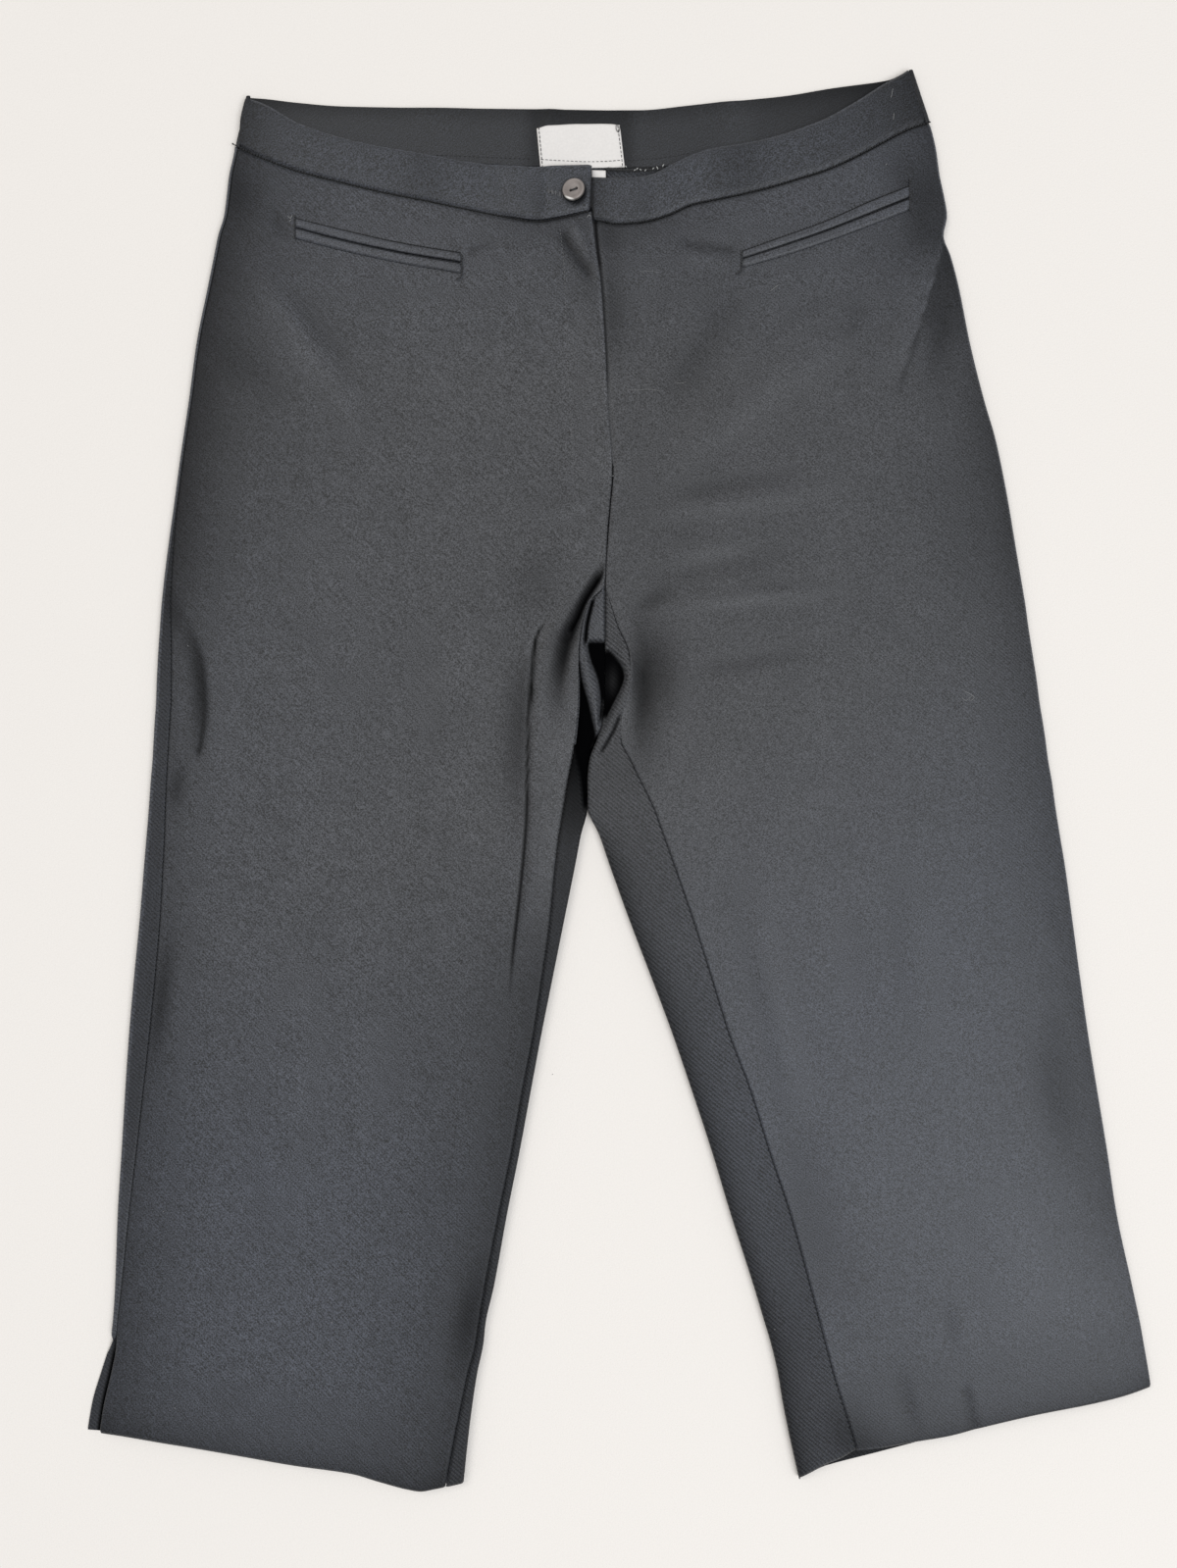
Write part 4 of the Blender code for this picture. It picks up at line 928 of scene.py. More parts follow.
def back_band_points():
    """Back waistband, flat, both ends turned up to meet the front ones."""
    radius = (EDGE_HEIGHT + BAND_STEP) / 2.0
    turn = np.linspace(math.pi, 0.0, TURN_POINTS)
    flat = np.linspace(0.0, 1.0, 122)[1:-1]
    strip = BAND_STRIP - SEAM / 2.0

    def x_at(y):
        left, right = left_outer(y[:, :1]), right_outer(y[:, :1])
        return np.hstack([
            left - strip, left - radius + radius * np.sin(turn),
            mix(left - radius, right + radius, flat),
            right + radius - radius * np.sin(turn[::-1]), right + strip])

    columns = len(flat) + 2 * len(turn) + 2
    x, y = settle(x_at, BAND_ROWS, lambda x: band_back_seam(x) + BAND_SPACE / 2.0,
                  band_back_top, columns)
    start = np.array([2.0 * radius])
    rise = radius - radius * np.cos(turn)
    line = np.concatenate([start, rise, 0.0 * flat, rise[::-1], start])
    z = line + 0.0 * x
    level_part = np.clip(1.0 - z / radius, 0.0, 1.0)
    wave = 0.35 * np.sin(x / 23.0) + 0.25 * np.sin(x / 9.0 + 1.0)
    wave += 1.0 * bell(x + 40.0, 7.0) + 0.5 * bell(x - 66.0, 9.0)
    z = z + level_part * np.maximum(wave, 0.0) * BAND_ROWS ** 2
    # Painted shade towards both ends, round the label and along the top edge; a painted highlight in
    # one patch.
    shade = darker(edge_shade(x - right_outer(y), 0.5, 24.0) * mix(0.6, 1.0, level_part),
                   edge_shade(left_outer(y) - x, 0.78, 50.0) * mix(0.3, 1.0, level_part),
                   0.3 * bell(np.maximum(np.abs(x + 23.0) - 27.0, 0.0), 6.0),
                   0.24 * bell(1.0 - BAND_ROWS, 0.2))
    shade = shade - 0.12 * bell(x - 74.0, 9.0)
    return x, y, z, shade


def mesh_of(name, shape):
    mesh = bpy.data.meshes.new(name)
    shape.to_mesh(mesh)
    shape.free()
    return mesh


def shell(name, points, wall, finish):
    """A cloth wall grown inward from a grid of outer-surface points."""
    x, y, z, shade = points[:4]
    rows, columns = x.shape
    shape = bmesh.new()
    bmesh.ops.create_grid(shape, x_segments=columns - 1, y_segments=rows - 1, size=1.0)
    mesh = mesh_of(name, shape)
    places = np.stack([x, y, z], axis=-1).reshape(-1, 3) * MM
    mesh.vertices.foreach_set("co", places.ravel())
    # painted shade of each point, kept as the mesh's shade attribute
    dark = mesh.attributes.new("shade", "FLOAT", "POINT")
    dark.data.foreach_set("value", np.clip(shade, LIGHTEST, DARKEST).ravel())
    if len(points) > 4:
        shape = bmesh.new()
        shape.from_mesh(mesh)
        shape.faces.ensure_lookup_table()
        spare = [shape.faces[k] for k in np.flatnonzero(~points[4].ravel())]
        bmesh.ops.delete(shape, geom=spare, context="FACES")
        shape.to_mesh(mesh)
        shape.free()
    mesh.shade_smooth()
    piece = place(name, mesh, finish)
    walls = piece.modifiers.new("Wall", "SOLIDIFY")
    walls.thickness = wall
    walls.offset = -1.0
    return piece


def place(name, mesh, finish):
    piece = bpy.data.objects.new(name, mesh)
    mesh.materials.append(finish)
    bpy.context.scene.collection.objects.link(piece)
    return piece


def settle_in(piece, node, slot):
    """The piece rides on its body and stands for its solid, which it hides."""
    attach(piece, BODY)
    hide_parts(node)


# Sockets of a Mix node that mixes colours.
COLOUR_A, COLOUR_B, COLOUR_RESULT = 6, 7, 2


class Field:
    """A number that varies over a surface, so that sums on it add their nodes."""

    def __init__(self, finish, socket):
        self.finish = finish
        self.socket = socket

    def _math(self, operation, *values):
        links = {k: value for k, value in enumerate(values)}
        return self.finish.node("ShaderNodeMath", {"operation": operation}, links)

    def __add__(self, other):
        return self._math("ADD", self, other)

    __radd__ = __add__

    def __mul__(self, other):
        return self._math("MULTIPLY", self, other)

    __rmul__ = __mul__

    def __sub__(self, other):
        return self._math("SUBTRACT", self, other)

    def __rsub__(self, other):
        return self._math("SUBTRACT", other, self)

    def sine(self):
        return self._math("SINE", self)

    def at_least(self, other):
        return self._math("MAXIMUM", self, other)

    def clear(self):
        """Kept between 0 and 1."""
        return self.finish.node("ShaderNodeClamp", {}, {"Value": self})


def rgba(colour, times=1.0):
    return (*[c * times for c in colour], 1.0)


class Finish:
    """One material and the nodes in it."""

    def __init__(self, name, **constants):
        self.material = bpy.data.materials.new(name)
        self.material.use_nodes = True
        self.tree = self.material.node_tree
        self.shader = self.tree.nodes["Principled BSDF"]
        for key, value in constants.items():
            self.shader.inputs[key.replace("_", " ")].default_value = value

    def node(self, kind, settings, values, output=0):
        """Add a node: its settings first, then the values or links of its sockets."""
        made = self.tree.nodes.new(kind)
        for key, value in settings.items():
            setattr(made, key, value)
        for key, value in values.items():
            if isinstance(value, Field):
                self.tree.links.new(value.socket, made.inputs[key])
            else:
                made.inputs[key].default_value = value
        return Field(self, made.outputs[output])

    def place(self):
        """X, Y and Z of the surface, in metres."""
        spot = self.node("ShaderNodeTexCoord", {}, {}, "Object")
        split = self.node("ShaderNodeSeparateXYZ", {}, {0: spot})
        outputs = split.socket.node.outputs
        return spot, [Field(self, outputs[k]) for k in range(3)]

    def noise(self, spot, scale, detail=2.0):
        return self.node("ShaderNodeTexNoise", {},
                         {"Vector": spot, "Scale": scale, "Detail": detail}, "Fac")

    def blend(self, mask, first, second):
        """Colour that goes from first to second with a mask."""
        return self.node("ShaderNodeMix", {"data_type": "RGBA"},
                         {"Factor": mask, COLOUR_A: first, COLOUR_B: second}, COLOUR_RESULT)

    def scaled(self, colour, amount):
        """A colour times a varying number."""
        return self.node("ShaderNodeVectorMath", {"operation": "SCALE"},
                         {0: colour, "Scale": amount})

    def bump(self, height, distance, strength=1.0):
        return self.node("ShaderNodeBump", {},
                         {"Height": height, "Distance": distance, "Strength": strength})

    def feed(self, socket, value):
        self.tree.links.new(value.socket, self.shader.inputs[socket])

    def sink(self, mask):
        """Goes over to unlit black where the mask is 1: painted shade, as deep in a crease."""
        cloth = Field(self, self.shader.outputs[0])
        black = self.node("ShaderNodeBsdfPrincipled", {},
                          {"Base Color": rgba(PAINTED_SHADE_BLACK), "Specular IOR Level": 0.0,
                           "Roughness": 1.0})
        mixed = self.node("ShaderNodeMixShader", {}, {"Fac": mask, 1: cloth, 2: black})
        output = self.tree.nodes["Material Output"]
        self.tree.links.new(mixed.socket, output.inputs["Surface"])


def twill_finish(name, settings, angle=45.0, relief=1.0, tone=1.0, grain=1.0, cool_light=0.0,
                 slub=0.5, pitch=1.0):
    """Black twill: diagonal wales, yarn grain, slow changes of tone, a painted cool light tint, and
    painted shade that goes to black in creases.
    """
    finish = Finish(name, Roughness=0.56, Sheen_Weight=settings.sheen,
                    Sheen_Roughness=0.45, Specular_IOR_Level=0.6)
    spot, (x, y, _) = finish.place()
    wide = finish.noise(spot, 26.0, 4.0)
    fine = finish.noise(spot, 1300.0, 1.0)
    turn = math.radians(angle)
    wobble = finish.noise(spot, 60.0, 1.0) * 0.0006
    wave = math.tau / (settings.pitch * pitch)
    across = x * math.sin(turn) - y * math.cos(turn) + wobble
    along = x * math.cos(turn) + y * math.sin(turn)
    wale = (across * wave).sine() * 0.5 + 0.5
    yarn = (along * (wave * 1.6)).sine() * 0.5 + 0.5
    drawn = finish.node("ShaderNodeCombineXYZ", {}, {0: along * 70.0, 1: across * 620.0})
    streak = finish.noise(drawn, 1.0, 2.0)
    shade = finish.node("ShaderNodeAttribute", {"attribute_name": "shade"}, {}, "Fac")
    mixed = finish.blend(wide, rgba(settings.colour, tone), rgba(settings.tint, tone))
    # painted cool light: the cloth turns bluer towards the hems, the waist and the sides
    cool_lit_tint = [c * k for c, k in zip(settings.tint, (0.85 * tone, 0.92 * tone, 1.07 * tone))]
    lower = (y * -4.2 + x * 1.6).clear() + (y * 5.0 - 1.2).clear() + x * x * 7.0 + cool_light
    lower = lower.clear()
    mixed = finish.blend(lower, mixed, rgba(cool_lit_tint))
    middle = finish.noise(spot, 280.0, 3.0)
    grains = fine * (3.9 * grain) + middle * (0.3 * grain) + streak * slub
    light = wale * (0.34 * relief) + grains + (1.0 - 2.1 * grain - 0.5 * slub - 0.17 * relief)
    light = light.at_least(0.1) * (wide * 0.3 + 0.85)
    finish.feed("Base Color", finish.scaled(mixed, light * (1.0 - shade * 0.9)))
    finish.sink(shade.clear())
    height = wale * relief + yarn * (0.35 * relief) + fine * 0.9
    finish.feed("Normal", finish.bump(height, 0.00016))
    return finish.material


def plain_weave_finish(name, colour, pitch, roughness):
    """Ribbon of plain weave."""
    finish = Finish(name, Roughness=roughness, Sheen_Weight=0.05)
    spot, (x, y, _) = finish.place()
    wave = math.tau / pitch
    weave = (x * wave).sine() * (y * wave).sine() * 0.5 + 0.5
    grain = finish.noise(spot, 700.0, 3.0)
    shade = finish.node("ShaderNodeAttribute", {"attribute_name": "shade"}, {}, "Fac")
    light = (weave * 0.10 + grain * 0.16 + 0.84) * (1.0 - shade * 0.6)
    mixed = finish.blend(finish.noise(spot, 90.0), rgba(colour), rgba(colour, 0.93))
    finish.feed("Base Color", finish.scaled(mixed, light))
    finish.feed("Normal", finish.bump(weave + grain * 0.6, 0.00006))
    return finish.material


def thread_finish(name, colour):
    """Sewing thread, twisted."""
    finish = Finish(name, Roughness=0.5, Sheen_Weight=0.1)
    spot, (x, y, z) = finish.place()
    twist = ((x + y + z * 0.5) * 9000.0).sine() * 0.5 + 0.5
    mixed = finish.blend(finish.noise(spot, 800.0), rgba(colour), rgba(colour, 0.7))
    finish.feed("Base Color", finish.scaled(mixed, twist * 0.3 + 0.8))
    finish.feed("Normal", finish.bump(twist, 0.00004))
    return finish.material


def pearl_finish(name, colour):
    """Dark pearly resin, with a painted highlight on its lower-left rim and a darker outer edge."""
    finish = Finish(name, Roughness=0.4, Coat_Weight=0.12, Coat_Roughness=0.2,
                    Specular_IOR_Level=0.45)
    spot, (x, y, _) = finish.place()
    cloud = finish.noise(spot, 260.0, 4.0)
    mixed = finish.blend(cloud, rgba(colour), rgba(colour, 1.7))
    # painted highlight: a pale crescent on the lower-left rim
    rim = ((x * -0.62 + y * -0.78) * 139.0 - 0.77) * 9.0
    mixed = finish.blend(rim.clear(), mixed, (0.8, 0.77, 0.73, 1.0))
    edge = ((x * x + y * y) * 19300.0 - 0.83) * 10.0
    mixed = finish.blend(edge.clear(), mixed, (0.02, 0.019, 0.018, 1.0))
    finish.feed("Base Color", finish.scaled(mixed, finish.noise(spot, 90.0) * 0.6 + 0.8))
    finish.feed("Roughness", cloud * 0.25 + 0.3)
    finish.feed("Normal", finish.bump(cloud, 0.00005))
    return finish.material


def stage_finish(colour):
    """Pale cloth-covered table."""
    finish = Finish("pale_floor", Roughness=0.9, Specular_IOR_Level=0.15)
    spot, _ = finish.place()
    grain = finish.noise(spot, 900.0, 2.0)
    slow = finish.noise(spot, 3.0, 2.0)
    mixed = finish.blend(slow, rgba(colour), rgba(colour, 0.985))
    finish.feed("Base Color", finish.scaled(mixed, grain * 0.05 + 0.975))
    finish.feed("Normal", finish.bump(grain, 0.0002))
    return finish.material


def sew(name, runs, finish, sides=6):
    """Threads joined in one mesh that rides on the body.

    Each run is its points and radius, in millimetres.
    """
    shape = bmesh.new()
    for points, radius in runs:
        points = np.array(points, float)
        count = len(points)
        ahead = np.gradient(points, axis=0)
        ahead /= np.linalg.norm(ahead, axis=1)[:, None]
        upward = np.array([0.0, 0.0, 1.0])
        rings = []
        for k in range(count):
            side = np.cross(ahead[k], upward)
            side /= max(np.linalg.norm(side), 1e-6)
            over = np.cross(side, ahead[k])
            swell = radius * (0.45 if k in (0, count - 1) else 1.0)
            ring = []
            for corner in range(sides):
                angle = math.tau * corner / sides
                spot = points[k] + swell * (side * math.cos(angle) + over * math.sin(angle))
                ring.append(shape.verts.new(Vector(spot) * MM))
            rings.append(ring)
        for low, high in zip(rings, rings[1:]):
            for corner in range(sides):
                after = (corner + 1) % sides
                shape.faces.new((low[corner], low[after], high[after], high[corner]))
        shape.faces.new(rings[0][::-1])
        shape.faces.new(rings[-1])
    mesh = mesh_of(name, shape)
    mesh.shade_smooth()
    thread = place(name, mesh, finish)
    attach(thread, BODY)


def stitch_runs(path, height_at, stitch, gap, radius, sink=0.1):
    """Stitches along a path on cloth, as runs to sew."""
    path = rounded(path, steps=12)
    lengths = np.concatenate([[0.0], np.cumsum(np.linalg.norm(np.diff(path, axis=0), axis=1))])
    runs = []
    start = 0.0
    while start + stitch < lengths[-1]:
        at = start + stitch * np.linspace(0.0, 1.0, 5)
        x, y = np.interp(at, lengths, path[:, 0]), np.interp(at, lengths, path[:, 1])
        arch = radius * np.array([-1.6, 0.0, 0.35, 0.0, -1.6])
        runs.append((np.stack([x, y, height_at(x, y) + arch - sink], axis=1), radius))
        start += stitch + gap
    return runs


def leaning(x, y, lean, end, middle):
    """A short thread across a sewn edge, with the heights of its ends and middle."""
    return np.array([(x - 0.5, y - lean, end), (x, y, middle), (x + 0.5, y + lean, end)])


def right_height(x, y):
    z, _ = top_cloth(x, y, True)
    return z + fly_lift(x, y)


def left_height(x, y):
    return top_cloth(x, y, False)[0]


def band_share(y, seam, top):
    return np.clip((y - seam) / (top - seam), 0.0, 1.0)


def right_band_height(x, y):
    seam = band_right_seam(x)
    z = band_height(x, seam, True) + overlap_lift(x)
    return band_relief(band_share(y, seam, band_right_top(x)), z)


def left_band_height(x, y):
    seam = band_left_seam(x)
    return band_relief(band_share(y, seam, band_left_top(x)), band_height(x, seam, False))


def flat_height(height):
    """Height of a flat place, as a function like the ones above."""
    return lambda x, y: height + 0.0 * x


class ClothSettings(bpy.types.PropertyGroup):
    """Sizes and colours of the twill."""

    wall: FloatProperty(name="Twill wall", description="Thickness of one layer of twill",
                        default=0.0008, min=0.0003, max=0.0012, unit="LENGTH")
    band_wall: FloatProperty(name="Waistband wall", description="Thickness of the doubled band",
                             default=BAND_WALL * MM, min=0.0008, max=0.0016, unit="LENGTH")
    pitch: FloatProperty(name="Twill pitch", description="Spacing of the diagonal wales",
                         default=0.0017, min=0.0008, max=0.004, unit="LENGTH")
    sheen: FloatProperty(name="Sheen", description="Soft shine of the fibres",
                         default=0.12, min=0.0, max=1.0, subtype="FACTOR")
    colour: FloatVectorProperty(name="Twill colour", description="Darker tone of the twill",
                                default=(0.033, 0.034, 0.038), min=0.0, max=1.0, subtype="COLOR")
    tint: FloatVectorProperty(name="Twill tint", description="Lighter tone of the twill",
                              default=(0.042, 0.0425, 0.046), min=0.0, max=1.0, subtype="COLOR")


class TrimSettings(bpy.types.PropertyGroup):
    """Sizes and colours of the small parts."""

    welt_wall: FloatProperty(name="Welt wall", description="Thickness of a pocket welt",
                             default=0.0008, min=0.0003, max=0.001, unit="LENGTH")
    label_wall: FloatProperty(name="Label wall", description="Thickness of the woven label",
                              default=0.0005, min=0.0002, max=0.001, unit="LENGTH")
    button_width: FloatProperty(name="Button width", description="Diameter of the button",
                                default=0.0138, min=0.01, max=0.02, unit="LENGTH")
    label: FloatVectorProperty(name="Label colour", description="White of the woven label",
                               default=(0.83, 0.795, 0.765), min=0.0, max=1.0, subtype="COLOR")
    thread: FloatVectorProperty(name="Thread colour", description="Black sewing thread",
                                default=(0.02, 0.02, 0.022), min=0.0, max=1.0, subtype="COLOR")
    button: FloatVectorProperty(name="Button colour", description="Dark pearl of the button",
                                default=(0.15, 0.13, 0.12), min=0.0, max=1.0, subtype="COLOR")


class StageSettings(bpy.types.PropertyGroup):
    """Floor, lights and camera."""

    floor: FloatVectorProperty(name="Floor colour", description="Pale floor",
                               default=(0.85, 0.808, 0.765), min=0.0, max=1.0, subtype="COLOR")
    key: FloatProperty(name="Key light", description="Strength of the large soft light",
                       default=142.0, min=0.0, unit="POWER")
    side: FloatProperty(name="Side light", description="Strength of the low soft light",
                        default=66.0, min=0.0, unit="POWER")
    sky: FloatProperty(name="Room light", description="Strength of the light all round",
                       default=0.47, min=0.0, soft_max=2.0)
    camera_height: FloatProperty(name="Camera height", description="Camera above the cloth",
                                 default=0.7277, min=0.3, max=3.0, unit="LENGTH")


class TROUSERS_OT_fronts(bpy.types.Operator):
    """Build the two front panels"""

    bl_idname = "trousers.fronts"
    bl_label = "Front panels"

    def execute(self, context):
        cloth = context.scene.trousers_cloth
        right = shell("front_right", front_right_points(), cloth.wall,
                      twill_finish("twill_front_right", cloth, angle=-46.0, relief=0.5,
                                   tone=1.06, grain=1.2, slub=1.2))
        settle_in(right, "front_panel_right", "twill_front_right")
        left = shell("front_left", front_left_points(), cloth.wall,
                     twill_finish("twill_front_left", cloth, angle=-40.0, relief=0.45,
                                  tone=1.06, grain=1.05, slub=0.45))
        settle_in(left, "front_panel_left", "twill_front_left")
        return {"FINISHED"}


class TROUSERS_OT_backs(bpy.types.Operator):
    """Build the two back panels with their turned edges"""

    bl_idname = "trousers.backs"
    bl_label = "Back panels"

    def execute(self, context):
        cloth = context.scene.trousers_cloth
        right = shell("back_right", back_right_points(), cloth.wall,
                      twill_finish("twill_back_right", cloth, angle=-42.0, relief=1.2,
                                   tone=0.95, cool_light=0.4, pitch=1.2))
        settle_in(right, "back_panel_right", "twill_back_right")
        left = shell("back_left", back_left_points(), cloth.wall,
                     twill_finish("twill_back_left", cloth, angle=-40.0, relief=2.4,
                                  tone=0.94, pitch=1.25))
        settle_in(left, "back_panel_left", "twill_back_left")
        return {"FINISHED"}


class TROUSERS_OT_waistband(bpy.types.Operator):
    """Build the three parts of the waistband"""

    bl_idname = "trousers.waistband"
    bl_label = "Waistband"

    def execute(self, context):
        cloth = context.scene.trousers_cloth
        parts = (
            ("band_front_right", front_band_right_points(), "waistband_front_right",
             "twill_waistband_front_right", (0.222, 0.034), 0.76),
            ("band_front_left", front_band_left_points(), "waistband_front_left",
             "twill_waistband_front_left", (0.246, 0.034), 0.76),
            # The back band's lower tone is painted shade, as it lies deep inside the waist opening.
            ("band_back", back_band_points(), "waistband_back",
             "twill_waistband_back", (0.432, 0.036), 0.37),
        )
        for name, points, node, slot, flat, tone in parts:
            band = shell(name, points, cloth.band_wall,
                         twill_finish(slot, cloth, angle=38.0, relief=0.5, tone=tone,
                                      grain=1.6, cool_light=0.3))
            settle_in(band, node, slot)
        return {"FINISHED"}


class TROUSERS_OT_welts(bpy.types.Operator):
    """Build the four pocket welts and their end stitches"""

    bl_idname = "trousers.welts"
    bl_label = "Pocket welts"

    def execute(self, context):
        trim = context.scene.trousers_trim
        cloth = context.scene.trousers_cloth
        runs = []
        for side, table, height_at in (("right", POCKET_RIGHT, right_height),
                                       ("left", POCKET_LEFT, left_height)):
            lines = [reader(table, column) for column in (1, 2, 3)]
            start, end = table[0][0], table[-1][0]
            for name, lower, upper in (("upper", 1, 0), ("lower", 2, 1)):
                x = np.linspace(start, end, 70)[None, :]
                share = shares((0.15, 3), (0.85, 6), (1.0, 3))[:, None]
                y = mix(lines[lower](x) + SEAM / 2, lines[upper](x) - SEAM / 2, share)
                x = x + 0.0 * y
                width = lines[upper](x) - lines[lower](x)
                z = height_at(x, y) + 1.1 + 0.35 * np.sin(math.pi * share)
                z -= groove(share * width, 0.85, 0.7) + groove((1.0 - share) * width, 0.85, 0.7)
                z -= groove(x - start, 0.7, 0.8) + groove(end - x, 0.7, 0.8)
                # Painted shade in the gaps along the welt's upper and lower edges, and a painted
                # highlight along its crown.
                top, foot = (0.8, 0.95) if name == "upper" else (0.95, 0.25)
                gape = mix(0.4, 0.8, (x - start) / (end - start))
                shade = top * bell((1.0 - share) * width, gape)
                shade = shade + foot * bell(share * width, gape)
                shade = shade - 0.14 * np.sin(math.pi * share)
                slot = f"twill_welt_{side}_{name}"
                welt = shell(f"welt_{side}_{name}_cloth", (x, y, z, shade), trim.welt_wall,
                             twill_finish(slot, cloth, angle=20.0, relief=0.3, tone=1.05))
                settle_in(welt, f"welt_{side}_{name}", slot)
            above = [(x, float(lines[0](x)) + 0.1) for x in np.linspace(start, end, 9)]
            runs += stitch_runs(above, lambda a, b: height_at(a, b) + 0.5, 1.5, 0.5, 0.26)
            for x, outward in ((start, -1.0), (end, 1.0)):
                low, high = float(lines[2](x)), float(lines[0](x))
                inner_end = (x < 0.0) == (outward > 0.0)
                hook = [(x - 3.4, low - 4.0), (x - 1.2, low - 2.4)] if inner_end else []
                tip = [] if inner_end else [(x, high + 4.0 * (side == "left"))]
                ends = hook + [(x, low - 0.4), (x, high + 0.6)] + tip
                runs += stitch_runs(ends, lambda a, b: height_at(a, b) + 1.0,
                                    1.5, 0.15, 0.4)
        sew("pocket_end_stitches", runs, thread_finish("thread_pockets", trim.thread))
        return {"FINISHED"}


class TROUSERS_OT_fly(bpy.types.Operator):
    """Finish the zip tape and sew the fly, its bar tack and the buttonhole"""

    bl_idname = "trousers.fly"
    bl_label = "Fly"

    def execute(self, context):
        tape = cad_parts["zip_tape"]
        finish = plain_weave_finish("zip_tape_black", (0.012, 0.012, 0.013), 0.0008, 0.7)
        for holder in tape.material_slots:
            holder.material = finish
        fly = ((-35.4, 336.0), (-33.0, 313.8), (-31.8, 283.2), (-30.6, 246.6),
               (-28.8, 222.0), (-27.6, 197.4), (-25.2, 189.0), (-16.8, 185.4), (-5.6, 185.6))
        runs = stitch_runs(fly, right_height, 1.1, 1.3, 0.27, -0.05)
        runs += stitch_runs(((-9.0, 184.6), (-2.0, 184.6)), right_height, 0.6, 0.05, 0.3, 0.05)
        # The fly's thread is tonal; its grey is a painted highlight where it catches the light.
        sew("fly_stitches", runs, thread_finish("thread_fly", (0.14, 0.14, 0.145)))
        left = np.linspace(-405.0, 20.0, 80)
        right = left[left > -384.0]
        side = np.linspace(SLIT_TOP + 8.0, 190.0, 90)
        runs = []
        for x, y, height_at, radius, sink in (
                (left_front(left), left, left_height, 0.24, 0.5),
                (right_front(right) + 0.1, right, right_height, 0.2, 0.5),
                (right_outer(side) + right_strip(side), side, right_height, 0.2, 0.4)):
            runs += stitch_runs(np.column_stack([x, y]), height_at, 1.7, 1.3, radius, sink)
        sew("leg_seams", runs, thread_finish("thread_seams", SEAM_BLACK), 4)
        x = np.linspace(-43.4, -33.6, 25)
        k = np.arange(25)
        swing = np.where(k % 2, 1.0, -1.0) * (0.8 + 0.9 * np.abs(np.sin(k * 3.7)))
        middle = 358.0 - 0.3 * (x + 43.4)
        z = right_band_height(x, middle) + 0.25
        hole = [(np.column_stack([x, middle + swing, z]), 0.2),
                (np.column_stack([x[3:14], middle[3:14] - 0.6 * swing[3:14], z[3:14] + 0.2]), 0.2)]
        sew("buttonhole", hole, thread_finish("thread_buttonhole", (0.3, 0.3, 0.31)))
        return {"FINISHED"}


class TROUSERS_OT_labels(bpy.types.Operator):
    """Build the bare woven label, the size tab and the stitches that hold them"""

    bl_idname = "trousers.labels"
    bl_label = "Labels"

    def execute(self, context):
        trim = context.scene.trousers_trim
        white = plain_weave_finish("label_white", trim.label, 0.0007, 0.6)
        parts = (("woven_label", LABEL_CORNERS, "label", "label_white", 60, 34,
                  BAND_WALL + 1.05, (0.052, 0.0265)),
                 ("size_label", TAB_CORNERS, "size_tab", "tab_white", 14, 12,
                  2.3, (0.0101, 0.0101)))
        for name, corners, node, slot, columns, rows, height, flat in parts:
            u = np.linspace(0.0, 1.0, columns)[None, :]
            v = np.linspace(0.0, 1.0, rows)[:, None]
            low = [mix(corners[0][k], corners[1][k], u) for k in (0, 1)]
            high = [mix(corners[3][k], corners[2][k], u) for k in (0, 1)]
            x, y = [mix(a, b, v) for a, b in zip(low, high)]
            if node == "label":
                y = y + 0.7 * np.sin(math.pi * u) * v
                y = y - v * (1.3 * ramp(u, 0.14, 0) + 0.5 * ease((u - 0.9) / 0.1))
            z = height + 0.12 * np.sin(x * 0.35 + y * 0.2)
            z = z + 0.25 * bell(u - 0.5, 0.3) * np.sin(math.pi * v)
            edge = np.minimum(np.minimum(u, 1.0 - u) * columns, np.minimum(v, 1.0 - v) * rows)
            z = z - 0.25 * np.exp(-edge * edge)
            label = shell(name, (x, y, z, 0.0 * z), trim.label_wall, white)
            settle_in(label, node, slot)
        runs = []
        for lower, upper, inset in ((0, 3, 1.3), (1, 2, -1.3)):
            a, b = LABEL_CORNERS[lower], LABEL_CORNERS[upper]
            ends = [(a[0] + inset, a[1] + 0.4), (b[0] + inset, b[1] - 0.4)]
            runs += stitch_runs(ends, flat_height(ON_LABEL), 2.2, 0.4, 0.24, 0.0)
        across = ((-47.2, 379.6), (-34.0, 378.8), (-20.0, 378.2), (-8.0, 378.4), (2.8, 379.2))
        runs += stitch_runs(across, flat_height(ON_LABEL + 0.1), 1.9, 0.7, 0.17, 0.0)
        loop = ((-0.9, 401.0), (-1.1, 398.4), (-0.2, 396.4), (0.9, 397.0), (1.2, 400.2))
        runs.append((np.array([(a, b, 3.1) for a, b in rounded(loop)]), 0.2))
        sew("label_stitches", runs, thread_finish("thread_label", trim.thread))
        return {"FINISHED"}


